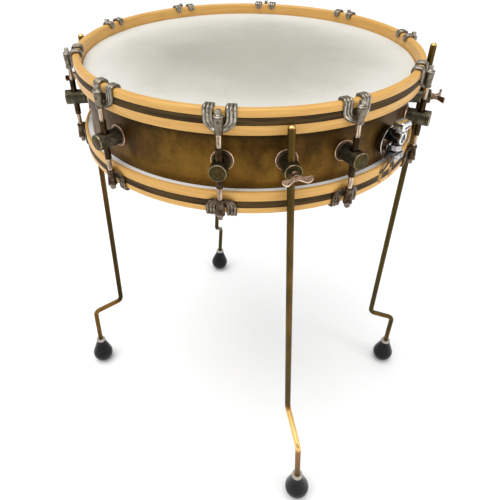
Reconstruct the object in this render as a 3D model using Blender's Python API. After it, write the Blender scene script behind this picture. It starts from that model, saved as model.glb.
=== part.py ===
"""Eighteen-inch snare drum on four bent legs.

The frame is +Z up, with the floor at z = 0 and the drum's axis on Z. Lug 1 faces -Y and the lugs run
anticlockwise seen from above, 36 degrees apart. Dimensions are in millimetres until a mesh is made.

Every station round the drum has its own axes: x points out from the drum's axis, y runs
anticlockwise along the rim and z is up. Its heights count from the middle of the shell.
"""

import math

import bmesh
import bpy
from mathutils import Matrix, Vector

MM = 0.001

# The drum's own sizes.
RIM_HEIGHT = 666.0          # top edge of the top hoop above the floor
DRUM_HEIGHT = 129.5         # from hoop edge to hoop edge
HOOP_RADIUS = 240.0
HOOP_DEPTH = 29.75
HOOP_BORE = 230.2           # inside of the playing edge
HOOP_SKIRT_BORE = 236.5     # inside of the skirt that covers the flesh hoop
HOOP_STEP = 18.0            # from the edge to the step that presses on the flesh hoop
HOOP_ROUND = 4.0
HEAD_SINK = 15.4            # head below the hoop's edge
FILM = 0.5
SHELL_RADIUS = 228.6
SHELL_WALL = 1.5
GAP = 0.3                   # clearance kept between touching pieces
RING_STEPS = 60

# Lugs, claws and rods.
LUG_COUNT = 10
LUG_STEP = 360.0 / LUG_COUNT
FIRST_LUG = -90.0
POST_RADIUS = 10.0
POST_END = 260.5            # outer face of a post, from the drum's axis
FLANGE_RADIUS = 13.4
FLANGE_DEPTH = 1.6
SCREW_RADIUS = 2.4
SCREW_HEAD_RADIUS = 5.0
SCREW_HEAD_DEPTH = 2.6
SCREW_HOLE = 3.0
ROD_CIRCLE = 248.0
ROD_RADIUS = 2.9
SLEEVE_RADIUS = 4.0
SLEEVE_BORE = 3.4
SLEEVE_HALF = 25.0
ROD_REACH = 16.0            # rod inside the sleeve

# Legs, feet and wing screws.
LEG_CIRCLE = 249.0
LEG_RADIUS = 4.4
LEG_BORE = 4.95
LEG_LEAN = math.radians(3.0)
LEG_FILLET = 13.0
LEG_END = 31.0              # lower end of the rod above the floor
FOOT_RADIUS = 20.0
FOOT_CENTRE = 18.8
FOOT_NECK = 8.3
FOOT_HEIGHT = 57.0
FOOT_STEPS = 20
WING_ORIGIN = 261.0
WING_BORE = 3.5
WING_TURN = math.radians(6.0)

# name, place round the drum, top of the rod, upper and lower bend heights, direction of the bend, and
# how far the foot stands out from the straight part.
LEGS = (
    ("front", -72.0, 652.0, 166.0, 135.5, 3.5, 54.0),
    ("right", 0.0, 676.0, 144.0, 127.0, 8.0, 46.0),
    ("back", 108.0, 658.0, 165.0, 124.0, -21.0, 53.0),
    ("left", 180.0, 665.0, 153.5, 131.0, 21.0, 53.0),
)

# Snare gear.
STRAINER_PLACE = -36.0
BUTT_PLACE = 144.0
GATE_SPREAD = 12.3          # each slot's middle from the gate's middle
GATE_WIDTH = 7.5
GATE_HIGH = -40.0
GATE_LOW = -60.0
KNOB_OUT = 247.0            # the tension knob's own axis
PIVOT_UP = 2.0              # the lever's axis above the shell's middle
STRAINER_SCREWS = (8.0, -20.0)
BUTT_SCREWS = (-3.0, -26.0)
STRANDS = 20
STRAND_PITCH = 2.4
STRAND_WIDTH = 1.4
WIRE_HALF = 198.0
WIRE_PLATE = 12.0
WIRE_DEPTH = 1.2
STRAP_WIDTH = 5.0
STRAP_DEPTH = 1.0

MIDDLE = RIM_HEIGHT - DRUM_HEIGHT / 2
HALF = DRUM_HEIGHT / 2

# colour, roughness, metallic
FINISHES = {
    "maple": ((0.66, 0.42, 0.16), 0.45, 0.0),
    "aged_brass": ((0.16, 0.11, 0.035), 0.42, 1.0),
    "dark_brass": ((0.12, 0.11, 0.07), 0.5, 1.0),
    "pewter": ((0.30, 0.27, 0.23), 0.45, 1.0),
    "leg_brass": ((0.22, 0.15, 0.06), 0.38, 1.0),
    "coated_white": ((0.80, 0.78, 0.72), 0.7, 0.0),
    "clear_white": ((0.85, 0.85, 0.83), 0.4, 0.0),
    "rubber": ((0.02, 0.02, 0.02), 0.7, 0.0),
    "chrome": ((0.55, 0.55, 0.56), 0.15, 1.0),
    "steel_wire": ((0.60, 0.60, 0.58), 0.3, 1.0),
    "black_strap": ((0.02, 0.02, 0.02), 0.8, 0.0),
}


def clear_scene():
    for old in list(bpy.data.objects):
        bpy.data.objects.remove(old)


def material(name):
    found = bpy.data.materials.get(name)
    if found:
        return found
    colour, roughness, metallic = FINISHES[name]
    made = bpy.data.materials.new(name)
    made.use_nodes = True
    shader = made.node_tree.nodes["Principled BSDF"]
    shader.inputs["Base Color"].default_value = (*colour, 1.0)
    shader.inputs["Roughness"].default_value = roughness
    shader.inputs["Metallic"].default_value = metallic
    return made


def closed(bm):
    """Turns every face outward and returns the mesh, still in millimetres."""
    bmesh.ops.recalc_face_normals(bm, faces=bm.faces)
    if bm.calc_volume(signed=True) < 0.0:
        bmesh.ops.reverse_faces(bm, faces=bm.faces)
    mesh = bpy.data.meshes.new("shape")
    bm.to_mesh(mesh)
    bm.free()
    return mesh


def turned(outline, steps):
    """A full turn about z of (radius, height) points. An outline that starts and ends on the axis is a
    solid, and any other outline is closed into a ring."""
    bm = bmesh.new()
    points = [bm.verts.new((radius, 0.0, height)) for radius, height in outline]
    pairs = list(zip(points, points[1:]))
    if outline[0][0] > 0.0:
        pairs.append((points[-1], points[0]))
    edges = [bm.edges.new(pair) for pair in pairs]
    bmesh.ops.spin(
        bm, geom=points + edges, cent=(0, 0, 0), axis=(0, 0, 1), angle=math.tau, steps=steps, use_merge=True
    )
    bmesh.ops.remove_doubles(bm, verts=bm.verts, dist=1e-4)
    return closed(bm)


def ring(outline):
    """A large ring, turned so that the middle of a flat faces every lug and leg."""
    return moved(turned(outline, RING_STEPS), Matrix.Rotation(math.pi / RING_STEPS, 4, "Z"))


def lofted(rings):
    """A solid through rings of equally many points, with flat ends."""
    bm = bmesh.new()
    loops = [[bm.verts.new(point) for point in ring] for ring in rings]
    for low, high in zip(loops, loops[1:]):
        for i in range(len(low)):
            j = (i + 1) % len(low)
            bm.faces.new((low[i], low[j], high[j], high[i]))
    bm.faces.new(loops[0])
    bm.faces.new(loops[-1])
    return closed(bm)


def block(low, high, bevel=0.0):
    """A box between two corners, with its edges bevelled if asked."""
    bm = bmesh.new()
    bmesh.ops.create_cube(bm, size=1.0)
    size = Vector(high) - Vector(low)
    middle = (Vector(high) + Vector(low)) / 2
    bmesh.ops.scale(bm, verts=bm.verts, vec=size)
    bmesh.ops.translate(bm, verts=bm.verts, vec=middle)
    if bevel:
        bmesh.ops.bevel(bm, geom=list(bm.edges), offset=bevel, segments=1, affect="EDGES")
    return closed(bm)


def rod(radius, start, end, steps, across="Z"):
    """A plain round bar along one axis, between two places on it."""
    mesh = turned([(0.0, start), (radius, start), (radius, end), (0.0, end)], steps)
    return outward(mesh) if across == "X" else mesh


def moved(mesh, matrix):
    bm = bmesh.new()
    bm.from_mesh(mesh)
    bm.transform(matrix)
    return closed(bm)


def shifted(mesh, x=0.0, y=0.0, z=0.0):
    return moved(mesh, Matrix.Translation((x, y, z)))


def upside_down(mesh):
    return moved(mesh, Matrix.Scale(-1.0, 4, (0, 0, 1)))


def outward(mesh):
    """Lays a piece that was turned about z along the x of its station."""
    return moved(mesh, Matrix.Rotation(math.pi / 2, 4, "Y"))


def fused(solids, cutters=()):
    """One mesh from overlapping solids, less the cutters."""
    scene = bpy.context.scene.collection
    parts = [bpy.data.objects.new("shape", mesh) for mesh in (*solids, *cutters)]
    for part in parts:
        scene.objects.link(part)
    body = parts[0]
    for i, part in enumerate(parts[1:], start=1):
        step = body.modifiers.new("join", "BOOLEAN")
        step.operation = "UNION" if i < len(solids) else "DIFFERENCE"
        step.object = part
        part.hide_render = True
        part.display_type = "WIRE"
    graph = bpy.context.evaluated_depsgraph_get()
    mesh = bpy.data.meshes.new_from_object(body.evaluated_get(graph))
    for part in parts:
        bpy.data.objects.remove(part)
    return mesh


def scaled(mesh):
    """The same mesh in metres, shaded smooth except over its sharp edges."""
    done = mesh.copy()
    done.transform(Matrix.Scale(MM, 4))
    done.shade_smooth()
    done.set_sharp_from_angle(angle=math.radians(35))
    return done


def place(name, mesh, finish, origin=(0.0, 0.0, 0.0), turn=(0.0, 0.0, 0.0)):
    """Puts a metre mesh in the scene as one named piece. origin is in millimetres."""
    piece = bpy.data.objects.new(name, mesh)
    piece.location = Vector(origin) * MM
    piece.rotation_euler = turn
    if not mesh.materials:
        mesh.materials.append(material(finish))
    bpy.context.scene.collection.objects.link(piece)
    return piece


def polar(radius, degrees, height=MIDDLE):
    angle = math.radians(degrees)
    return (radius * math.cos(angle), radius * math.sin(angle), height)


def at_station(name, mesh, finish, degrees, radius=0.0, height=MIDDLE):
    return place(name, mesh, finish, polar(radius, degrees, height), (0, 0, math.radians(degrees)))


def arc(centre, radius, start, end, count):
    """Points on a circle between two angles in degrees, both ends included."""
    steps = [math.radians(start + (end - start) * i / (count - 1)) for i in range(count)]
    return [(centre[0] + radius * math.cos(a), centre[1] + radius * math.sin(a)) for a in steps]


def filleted(points, radius, count=3):
    """The same path with each corner rounded by an arc."""
    path = [points[0]]
    for before, corner, after in zip(points, points[1:], points[2:]):
        back = (before - corner).normalized()
        ahead = (after - corner).normalized()
        half = back.angle(ahead) / 2
        reach = radius / math.tan(half)
        centre = corner + (back + ahead).normalized() * radius / math.sin(half)
        first = (corner + back * reach - centre).normalized()
        last = (corner + ahead * reach - centre).normalized()
        for i in range(count):
            path.append(centre + first.slerp(last, i / (count - 1)) * radius)
    path.append(points[-1])
    return path


def round_tube(path, radii, sides):
    """Rings of points along a path, each square to it."""
    rings = []
    side = Vector((1.0, 0.0, 0.0))
    for i, point in enumerate(path):
        along = (path[min(i + 1, len(path) - 1)] - path[max(i - 1, 0)]).normalized()
        side = (side - along * side.dot(along)).normalized()
        up = along.cross(side)
        turns = [math.tau * k / sides for k in range(sides)]
        rings.append([point + (side * math.cos(t) + up * math.sin(t)) * radii[i] for t in turns])
    return rings


def flat_strip(path, width, depth):
    """Rings of a flat strip whose width runs along y, following a path in x and z."""
    rings = []
    for i, point in enumerate(path):
        along = (path[min(i + 1, len(path) - 1)] - path[max(i - 1, 0)]).normalized()
        across = Vector((0.0, 1.0, 0.0))
        normal = along.cross(across).normalized()
        corners = ((-1, -1), (1, -1), (1, 1), (-1, 1))
        rings.append([point + across * (a * width / 2) + normal * (b * depth / 2) for a, b in corners])
    return rings


def shell():
    """Plain rolled tube with a hole for every screw that fastens something to it."""
    half = HALF - HEAD_SINK - FILM - GAP
    inner = SHELL_RADIUS - SHELL_WALL
    tube = ring([(SHELL_RADIUS, -half), (SHELL_RADIUS, half), (inner, half), (inner, -half)])
    places = [(FIRST_LUG + LUG_STEP * i, 0.0) for i in range(LUG_COUNT)]
    places += [(leg[1], 0.0) for leg in LEGS]
    places += [(STRAINER_PLACE, height) for height in STRAINER_SCREWS]
    places += [(BUTT_PLACE, height) for height in BUTT_SCREWS]
    drill = rod(SCREW_HOLE, SHELL_RADIUS - 8.0, SHELL_RADIUS + 4.0, 8, "X")
    drills = []
    for degrees, height in places:
        turn = Matrix.Rotation(math.radians(degrees), 4, "Z")
        drills.append(moved(drill, turn @ Matrix.Translation((0, 0, height))))
    place("shell", scaled(fused([tube], drills)), "aged_brass", (0, 0, MIDDLE))


def hoop_outline():
    """Section of the top hoop, heights counted from the drum's middle."""
    top = HALF
    low = HALF - HOOP_DEPTH
    turn_in = (HOOP_BORE + HOOP_ROUND, top - HOOP_ROUND)
    turn_out = (HOOP_RADIUS - HOOP_ROUND, top - HOOP_ROUND)
    step = top - HOOP_STEP
    outline = arc(turn_in, HOOP_ROUND, 180, 90, 2) + arc(turn_out, HOOP_ROUND, 90, 0, 2)
    outline += [(HOOP_RADIUS, low), (HOOP_SKIRT_BORE, low)]
    return outline + [(HOOP_SKIRT_BORE, step), (HOOP_BORE, step)]


def gate_cutters():
    """The two slots that let the snare straps through one side of the bottom hoop."""
    low, high = HOOP_BORE - 4.0, HOOP_RADIUS + 4.0
    for centre in (-GATE_SPREAD, GATE_SPREAD):
        a, b = centre - GATE_WIDTH / 2, centre + GATE_WIDTH / 2
        yield block((low, a, GATE_LOW), (high, b, GATE_HIGH))


def hoops():
    top = ring(hoop_outline())
    place("top_hoop", scaled(top), "maple", (0, 0, MIDDLE))
    slots = []
    for degrees in (STRAINER_PLACE, BUTT_PLACE):
        turn = Matrix.Rotation(math.radians(degrees), 4, "Z")
        slots += [moved(slot, turn) for slot in gate_cutters()]
    bottom = fused([upside_down(top)], slots)
    place("bottom_hoop", scaled(bottom), "maple", (0, 0, MIDDLE))


def head_outline():
    """Film, collar and flesh hoop as one closed section."""
    film = HALF - HEAD_SINK
    inner = SHELL_RADIUS + GAP
    outer = inner + 0.7
    flesh_out = HOOP_SKIRT_BORE - 0.6
    flesh_top = HALF - HOOP_STEP - GAP
    flesh_low = HALF - HOOP_DEPTH + 1.2
    return [
        (0.0, film), (outer, film), (outer, flesh_top), (flesh_out, flesh_top), (flesh_out, flesh_low),
        (inner, flesh_low), (inner, film - FILM), (0.0, film - FILM),
    ]


def heads():
    head = ring(head_outline())
    place("batter_head", scaled(head), "coated_white", (0, 0, MIDDLE))
    place("snare_side_head", scaled(upside_down(head)), "clear_white", (0, 0, MIDDLE))


def post_outline(bore=0.0, bore_depth=0.0):
    """A post with its flange and its fixing screw, as (radius, distance from the drum's axis)."""
    inside = SHELL_RADIUS - SHELL_WALL - 0.7
    seat = SHELL_RADIUS + GAP
    outline = [(0.0, inside - SCREW_HEAD_DEPTH), (SCREW_HEAD_RADIUS, inside - SCREW_HEAD_DEPTH)]
    outline += [(SCREW_HEAD_RADIUS, inside), (SCREW_RADIUS, inside), (SCREW_RADIUS, seat)]
    outline += [(FLANGE_RADIUS, seat), (FLANGE_RADIUS, seat + FLANGE_DEPTH)]
    outline += [(POST_RADIUS, seat + FLANGE_DEPTH)]
    outline += [(POST_RADIUS, POST_END)]
    if bore:
        outline += [(bore, POST_END), (bore, POST_END - bore_depth), (0.0, POST_END - bore_depth)]
    else:
        outline += [(0.0, POST_END)]
    return outline


def lugs():
    """Tube lugs: a post on the shell with an upright threaded sleeve for the two tension rods."""
    post = outward(turned(post_outline(), 10))
    sleeve = shifted(rod(SLEEVE_RADIUS, -SLEEVE_HALF, SLEEVE_HALF, 8), x=ROD_CIRCLE)
    bore = shifted(rod(SLEEVE_BORE, -SLEEVE_HALF - 5.0, SLEEVE_HALF + 5.0, 8), x=ROD_CIRCLE)
    lug = scaled(fused([post, sleeve], [bore]))
    for i in range(LUG_COUNT):
        at_station(f"tube_lug_{i + 1}", lug, "dark_brass", FIRST_LUG + LUG_STEP * i)


def claw_arm(side):
    """One arm of a claw: up the outside of the hoop, over its edge and a little way down the inside."""
    rows = (
        (-2.0, -22.5, 0.4, 6.0), (-5.4, -18.6, 2.2, 14.6), (-6.2, -13.5, 5.8, 18.3), (-6.2, -3.0, 6.3, 18.9),
        (-9.0, 2.2, 6.3, 18.9), (-16.6, 2.2, 6.6, 18.6), (-19.7, -1.6, 7.4, 17.8), (-19.7, -6.5, 8.6, 16.6),
    )
    half = 1.3
    rings = []
    for i, (out, up, near, far) in enumerate(rows):
        before, after = rows[max(i - 1, 0)], rows[min(i + 1, len(rows) - 1)]
        along = Vector((after[0] - before[0], 0.0, after[1] - before[1])).normalized()
        normal = Vector((along.z, 0.0, -along.x)) * half
        corners = []
        for across, sign in ((near, -1), (far, -1), (far, 1), (near, 1)):
            radius = ROD_CIRCLE + out + normal.x * sign
            angle = side * across / ROD_CIRCLE
            x, y, _ = polar(radius, math.degrees(angle))
            corners.append((x - ROD_CIRCLE, y, up + normal.z * sign))
        rings.append(corners)
    return lofted(rings)


def claws():
    """Each claw is one casting, here with its tension rod and key head through it."""
    key, washer, barrel, foot = 2.6, -5.2, 5.4, -24.5
    sleeve_top = SLEEVE_HALF - HALF
    reach = sleeve_top - ROD_REACH
    outline = [(0.0, key), (2.7, key), (2.7, washer), (barrel, washer), (barrel - 0.9, foot)]
    outline += [(ROD_RADIUS, foot), (ROD_RADIUS, reach), (0.0, reach)]
    claw = fused([turned(outline, 6), claw_arm(1), claw_arm(-1)])
    raised = shifted(claw, z=HALF)
    top = scaled(raised)
    bottom = scaled(upside_down(raised))
    for i in range(LUG_COUNT):
        degrees = FIRST_LUG + LUG_STEP * i
        at_station(f"top_claw_{i + 1}", top, "pewter", degrees, ROD_CIRCLE)
        at_station(f"bottom_claw_{i + 1}", bottom, "pewter", degrees, ROD_CIRCLE)


def leg_line(height):
    """Place of the leg's straight line at a height above the floor, from its bracket's middle."""
    up = height - MIDDLE
    return Vector((0.0, -up * math.tan(LEG_LEAN), up))


def leg_rod(top, bend_high, bend_low, offset):
    corners = [leg_line(top - 1.2), leg_line(bend_high)]
    corners += [leg_line(bend_low) + offset, leg_line(LEG_END) + offset]
    path = [leg_line(top)] + filleted(corners, LEG_FILLET)
    radii = [LEG_RADIUS - 1.4] + [LEG_RADIUS] * (len(path) - 1)
    return lofted(round_tube(path, radii, 8))


def foot():
    """Rubber ball foot with a cone up to the rod, leaning with it and flat where it rests."""
    ball = arc((0.0, FOOT_CENTRE), FOOT_RADIUS, -80, 36, 7)
    bore_top = FOOT_HEIGHT
    bore_low = LEG_END - 1.0
    outline = [(0.0, FOOT_CENTRE - FOOT_RADIUS)] + ball + [(FOOT_NECK, FOOT_HEIGHT), (LEG_BORE, bore_top)]
    outline += [(LEG_BORE, bore_low), (0.0, bore_low)]
    lean = Matrix.Rotation(LEG_LEAN, 4, "X")
    mesh = moved(turned(outline, FOOT_STEPS), lean)
    bm = bmesh.new()
    bm.from_mesh(mesh)
    everything = bm.verts[:] + bm.edges[:] + bm.faces[:]
    down = (0, 0, -1)
    cut = bmesh.ops.bisect_plane(bm, geom=everything, plane_co=(0, 0, 0), plane_no=down, clear_outer=True)
    rim = [item for item in cut["geom_cut"] if isinstance(item, bmesh.types.BMEdge)]
    bmesh.ops.holes_fill(bm, edges=rim)
    return closed(bm)


def wing_screw():
    """Clamping screw with two wings that sweep outward and curl level at their tips."""
    tip = LEG_CIRCLE + LEG_RADIUS + GAP - WING_ORIGIN
    outline = [(0.0, tip), (2.9, tip), (2.9, 0.2), (4.8, 0.2), (4.8, 9.0), (3.6, 11.4), (0.0, 11.4)]
    screw = outward(turned(outline, 8))
    curve = ((16.0, -16.6), (16.4, -12.0), (13.0, -6.6), (9.4, 0.0))
    points = list(curve) + [(out, -across) for out, across in reversed(curve[:-1])]
    heights = (3.0, 4.4, 3.8, 3.2, 3.8, 4.4, 3.0)
    rings = []
    for i, (out, across) in enumerate(points):
        before, after = points[max(i - 1, 0)], points[min(i + 1, len(points) - 1)]
        along = Vector((after[0] - before[0], after[1] - before[1], 0.0)).normalized()
        normal = Vector((along.y, -along.x, 0.0)) * 1.25
        middle = Vector((out, across, 0.0))
        rise = Vector((0.0, 0.0, heights[i]))
        corners = ((-1, -1), (1, -1), (1, 1), (-1, 1))
        rings.append([middle + normal * a + rise * b for a, b in corners])
    wings = lofted(rings)
    return moved(fused([screw, wings]), Matrix.Rotation(WING_TURN, 4, "X"))


def legs():
    """Four brackets on the shell, and in each a bent leg with its foot and its wing screw."""
    post = outward(turned(post_outline(WING_BORE, POST_END - LEG_CIRCLE), 10))
    drill = moved(rod(LEG_BORE, -20.0, 20.0, 10), Matrix.Rotation(LEG_LEAN, 4, "X"))
    bracket = scaled(fused([post], [shifted(drill, x=LEG_CIRCLE)]))
    rubber = scaled(foot())
    wing = scaled(wing_screw())
    for name, degrees, top, bend_high, bend_low, bend, reach in LEGS:
        angle = math.radians(degrees)
        offset = Vector(polar(reach, bend, 0.0))
        at_station(f"{name}_leg_bracket", bracket, "dark_brass", degrees)
        mesh = scaled(leg_rod(top, bend_high, bend_low, offset))
        pivot = at_station(f"{name}_leg", mesh, "leg_brass", degrees, LEG_CIRCLE)
        ground = Matrix.Rotation(angle, 4, "Z") @ (leg_line(0.0) + offset)
        x, y, _ = polar(LEG_CIRCLE, degrees)
        place(f"{name}_foot", rubber, "rubber", (x + ground.x, y + ground.y, 0.0), pivot.rotation_euler)
        at_station(f"{name}_wing_screw", wing, "dark_brass", degrees, WING_ORIGIN)


def fixing_screws(heights):
    """Screws that hold a plate from inside the shell."""
    seat = SHELL_RADIUS + GAP
    inside = SHELL_RADIUS - SHELL_WALL - 0.7
    outline = [(0.0, inside - SCREW_HEAD_DEPTH), (SCREW_HEAD_RADIUS, inside - SCREW_HEAD_DEPTH)]
    outline += [(SCREW_HEAD_RADIUS, inside), (SCREW_RADIUS, inside)]
    outline += [(SCREW_RADIUS, seat + 1.0), (0.0, seat + 1.0)]
    return [shifted(outward(turned(outline, 8)), z=height) for height in heights]


def strainer():
    """Throw-off: a round dish with an axle, the lever that turns on it, and the slide that carries the
    straps, with the knob that sets their tension."""
    seat = SHELL_RADIUS + GAP
    dish = [(0.0, seat), (20.5, seat), (20.5, seat + 8.0), (18.8, seat + 8.0), (17.8, seat + 2.0)]
    plate = shifted(outward(turned(dish + [(0.0, seat + 2.0)], 20)), z=-6.0)
    guide = block((seat + 1.0, -5.0, -28.0), (238.0, 5.0, -10.0))
    axle = shifted(rod(5.0, seat + 1.0, 249.5, 12, "X"), z=PIVOT_UP)
    base = fused([plate, guide, axle, *fixing_screws(STRAINER_SCREWS)])
    at_station("strainer_base", scaled(base), "chrome", STRAINER_PLACE)

    cup = [(5.5, 231.6), (8.0, 231.6), (8.0, 254.0), (0.0, 254.0), (0.0, 250.2), (5.5, 250.2)]
    hub = outward(turned(cup, 12))
    arm = block((244.0, -5.0, 6.5), (251.0, 5.0, 13.0))
    grip = block((241.5, -8.5, 11.0), (256.0, 8.5, 21.5), 2.2)
    lever = fused([hub, arm, grip])
    at_station("strainer_lever", scaled(lever), "chrome", STRAINER_PLACE, 0.0, MIDDLE + PIVOT_UP)

    knob = turned([(0.0, -18.5), (2.0, -18.5), (2.0, -14.6), (6.9, -14.6), (6.9, -7.4), (0.0, -7.4)], 12)
    at_station("strainer_knob", scaled(knob), "chrome", STRAINER_PLACE, KNOB_OUT)

    jaw = block((250.5, -9.5, -26.0), (253.2, 9.5, -18.0), 0.6)
    carriage = block((238.4, -10.0, -27.0), (251.0, 10.0, -15.6), 0.8)
    heads_out = [shifted(rod(2.7, 252.6, 255.4, 8, "X"), y=y, z=-22.0) for y in (-5.5, 5.5)]
    stem = shifted(rod(2.6, -30.0, -10.0, 10), x=KNOB_OUT)
    clamp = fused([carriage, jaw, *heads_out], [stem])
    at_station("strainer_clamp", scaled(clamp), "chrome", STRAINER_PLACE)


def butt():
    """The fixed end of the snares: a plate with a clamp block, and the jaw that grips the strap."""
    seat = SHELL_RADIUS + GAP
    plate = block((seat, -18.0, -31.0), (seat + 2.0, 18.0, 3.0), 0.9)
    anvil = block((seat + 1.0, -12.0, -27.0), (243.0, 12.0, -14.0), 0.8)
    base = fused([plate, anvil, *fixing_screws(BUTT_SCREWS)])
    at_station("butt_plate", scaled(base), "chrome", BUTT_PLACE)
    jaw = block((244.6, -12.0, -26.0), (247.2, 12.0, -15.0), 0.6)
    screws = [shifted(rod(2.9, 246.6, 250.0, 8, "X"), y=y, z=-20.5) for y in (-7.5, 7.5)]
    at_station("butt_jaw", scaled(fused([jaw, *screws])), "chrome", BUTT_PLACE)


def snare_wires():
    """Twenty strands between two end plates, flat under the lower head."""
    top = -(HALF - HEAD_SINK) - 0.4
    edges = []
    for i in range(STRANDS):
        middle = (i - (STRANDS - 1) / 2) * STRAND_PITCH
        edges += [middle - STRAND_WIDTH / 2, middle + STRAND_WIDTH / 2]
    edges = [edges[0] - 3.0] + edges + [edges[-1] + 3.0]
    rows = [-WIRE_HALF - WIRE_PLATE, -WIRE_HALF, WIRE_HALF, WIRE_HALF + WIRE_PLATE]
    bm = bmesh.new()
    grid = [[bm.verts.new((x, y, top)) for y in edges] for x in rows]
    for j in range(len(rows) - 1):
        for i in range(len(edges) - 1):
            is_plate = j != 1
            is_strand = i % 2 == 1
            if is_plate or is_strand:
                bm.faces.new((grid[j][i], grid[j + 1][i], grid[j + 1][i + 1], grid[j][i + 1]))
    flat = bm.faces[:]
    bmesh.ops.recalc_face_normals(bm, faces=flat)
    grown = bmesh.ops.extrude_face_region(bm, geom=flat, use_keep_orig=True)
    lower = [item for item in grown["geom"] if isinstance(item, bmesh.types.BMVert)]
    bmesh.ops.translate(bm, verts=lower, vec=(0, 0, -WIRE_DEPTH))
    at_station("snare_wires", scaled(closed(bm)), "steel_wire", STRAINER_PLACE)


def straps(start_out, start_up, start_spread, clear_up):
    """Both runs of a snare strap, from the clamp through the gate's slots to the wires' end plate."""
    under = -(HALF - HEAD_SINK) - 1.4
    end = WIRE_HALF + WIRE_PLATE + 0.6
    runs = []
    for side in (-1, 1):
        points = [
            Vector((start_out, side * start_spread, start_up)),
            Vector((start_out, side * start_spread, clear_up)),
            Vector((HOOP_RADIUS + 1.2, side * GATE_SPREAD, -44.0)),
            Vector((HOOP_RADIUS - 4.0, side * GATE_SPREAD, -48.6)),
            Vector((HOOP_RADIUS - 14.0, side * GATE_SPREAD, under)),
            Vector((end, side * GATE_SPREAD, under)),
        ]
        runs.append(lofted(flat_strip(points, STRAP_WIDTH, STRAP_DEPTH)))
    reach = GATE_SPREAD + STRAP_WIDTH / 2
    cross = block((end - 0.2, -reach, under - 0.5), (end + 4.8, reach, under + 0.5))
    return fused([*runs, cross])


def snare_straps():
    strainer_strap = straps(245.0, -27.4, 6.5, -29.5)
    at_station("strainer_strap", scaled(strainer_strap), "black_strap", STRAINER_PLACE)
    butt_strap = straps(243.8, -14.6, 8.0, -29.0)
    at_station("butt_strap", scaled(butt_strap), "black_strap", BUTT_PLACE)


def main():
    clear_scene()
    shell()
    hoops()
    heads()
    lugs()
    claws()
    legs()
    strainer()
    butt()
    snare_wires()
    snare_straps()


main()
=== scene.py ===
"""Looks of an eighteen-inch snare drum on four bent legs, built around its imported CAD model.

Lengths are in millimetres until a mesh is made. Every station round the drum has its own axes:
x points out from the drum's axis, y runs anticlockwise along the rim and z is up, with its heights
counted from the middle of the shell.
"""

import math

import bmesh
import bpy
from mathutils import Matrix, Vector


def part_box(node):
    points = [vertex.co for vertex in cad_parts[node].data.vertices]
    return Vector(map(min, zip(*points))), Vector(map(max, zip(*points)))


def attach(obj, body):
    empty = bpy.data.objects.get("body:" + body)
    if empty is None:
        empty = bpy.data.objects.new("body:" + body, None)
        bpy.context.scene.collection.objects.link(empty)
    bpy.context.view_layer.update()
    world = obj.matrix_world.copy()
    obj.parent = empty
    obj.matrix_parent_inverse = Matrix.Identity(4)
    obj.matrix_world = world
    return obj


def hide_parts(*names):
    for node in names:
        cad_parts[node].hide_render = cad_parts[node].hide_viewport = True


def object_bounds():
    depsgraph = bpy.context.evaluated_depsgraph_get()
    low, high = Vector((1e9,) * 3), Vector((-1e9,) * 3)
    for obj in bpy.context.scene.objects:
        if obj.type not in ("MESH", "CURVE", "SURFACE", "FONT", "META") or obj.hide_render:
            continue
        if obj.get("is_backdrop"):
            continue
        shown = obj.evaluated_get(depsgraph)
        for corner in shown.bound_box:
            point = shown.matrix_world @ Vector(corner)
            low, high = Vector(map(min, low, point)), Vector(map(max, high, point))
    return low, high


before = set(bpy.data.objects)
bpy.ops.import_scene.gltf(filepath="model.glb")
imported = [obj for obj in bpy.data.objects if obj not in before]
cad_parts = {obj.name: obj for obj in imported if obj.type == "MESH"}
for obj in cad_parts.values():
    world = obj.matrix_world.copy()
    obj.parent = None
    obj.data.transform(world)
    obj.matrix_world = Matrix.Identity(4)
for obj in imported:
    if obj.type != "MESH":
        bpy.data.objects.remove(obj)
cad_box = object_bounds()

MM = 0.001

# Places that the CAD model gives.
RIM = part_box("top_hoop")[1].z / MM
MIDDLE = (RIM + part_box("bottom_hoop")[0].z / MM) / 2
HALF = RIM - MIDDLE

# The drum.
HOOP_RADIUS = 240.0
HOOP_DEPTH = 29.75
HOOP_BORE = 230.2
HOOP_SKIRT_BORE = 236.5
HOOP_STEP = 18.0
HOOP_ROUND = 3.4
INLAY_HIGH = 8.8            # the dark stripe, counted from the hoop's outer edge
INLAY_LOW = 18.0
INLAY_LINE = 0.7            # the black line along each side of the stripe
HEAD_SINK = 15.4
SHELL_RADIUS = 228.6
SHELL_WALL = 1.5
SHELL_HALF = 48.5
ROUND_STEPS = 240

# Lugs, claws and rods.
LUG_COUNT = 10
LUG_STEP = 36.0
FIRST_LUG = -90.0
POST_RADIUS = 10.0
POST_END = 260.5
FLANGE_RADIUS = 13.4
POCKET_RADIUS = 5.9         # the hole in a post round its sleeve
ROD_CIRCLE = 248.0
ROD_RADIUS = 2.9
SLEEVE_RADIUS = 4.0
SLEEVE_BORE = 3.3
SLEEVE_HALF = 25.0
THREAD_PITCH = 0.9
THREAD_DEPTH = 0.22

# Legs, feet and wing screws.
LEG_CIRCLE = 249.0
LEG_RADIUS = 4.4
LEG_BORE = 4.95
LEG_LEAN = math.radians(3.0)
LEG_FILLET = 13.0
LEG_END = 31.0
FOOT_RADIUS = 19.6
FOOT_CENTRE = 18.8
FOOT_NECK = 8.3
FOOT_HEIGHT = 57.0
WING_ORIGIN = 261.0
WING_TURN = math.radians(6.0)

# name, place round the drum, top of the rod, upper and lower bend heights, direction of the bend, and
# how far the foot stands out from the straight part.
LEGS = (
    ("front", -72.0, 652.0, 166.0, 135.5, 3.5, 54.0),
    ("right", 0.0, 676.0, 144.0, 127.0, 8.0, 46.0),
    ("back", 108.0, 658.0, 165.0, 124.0, -21.0, 53.0),
    ("left", 180.0, 665.0, 153.5, 131.0, 21.0, 53.0),
)
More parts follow.
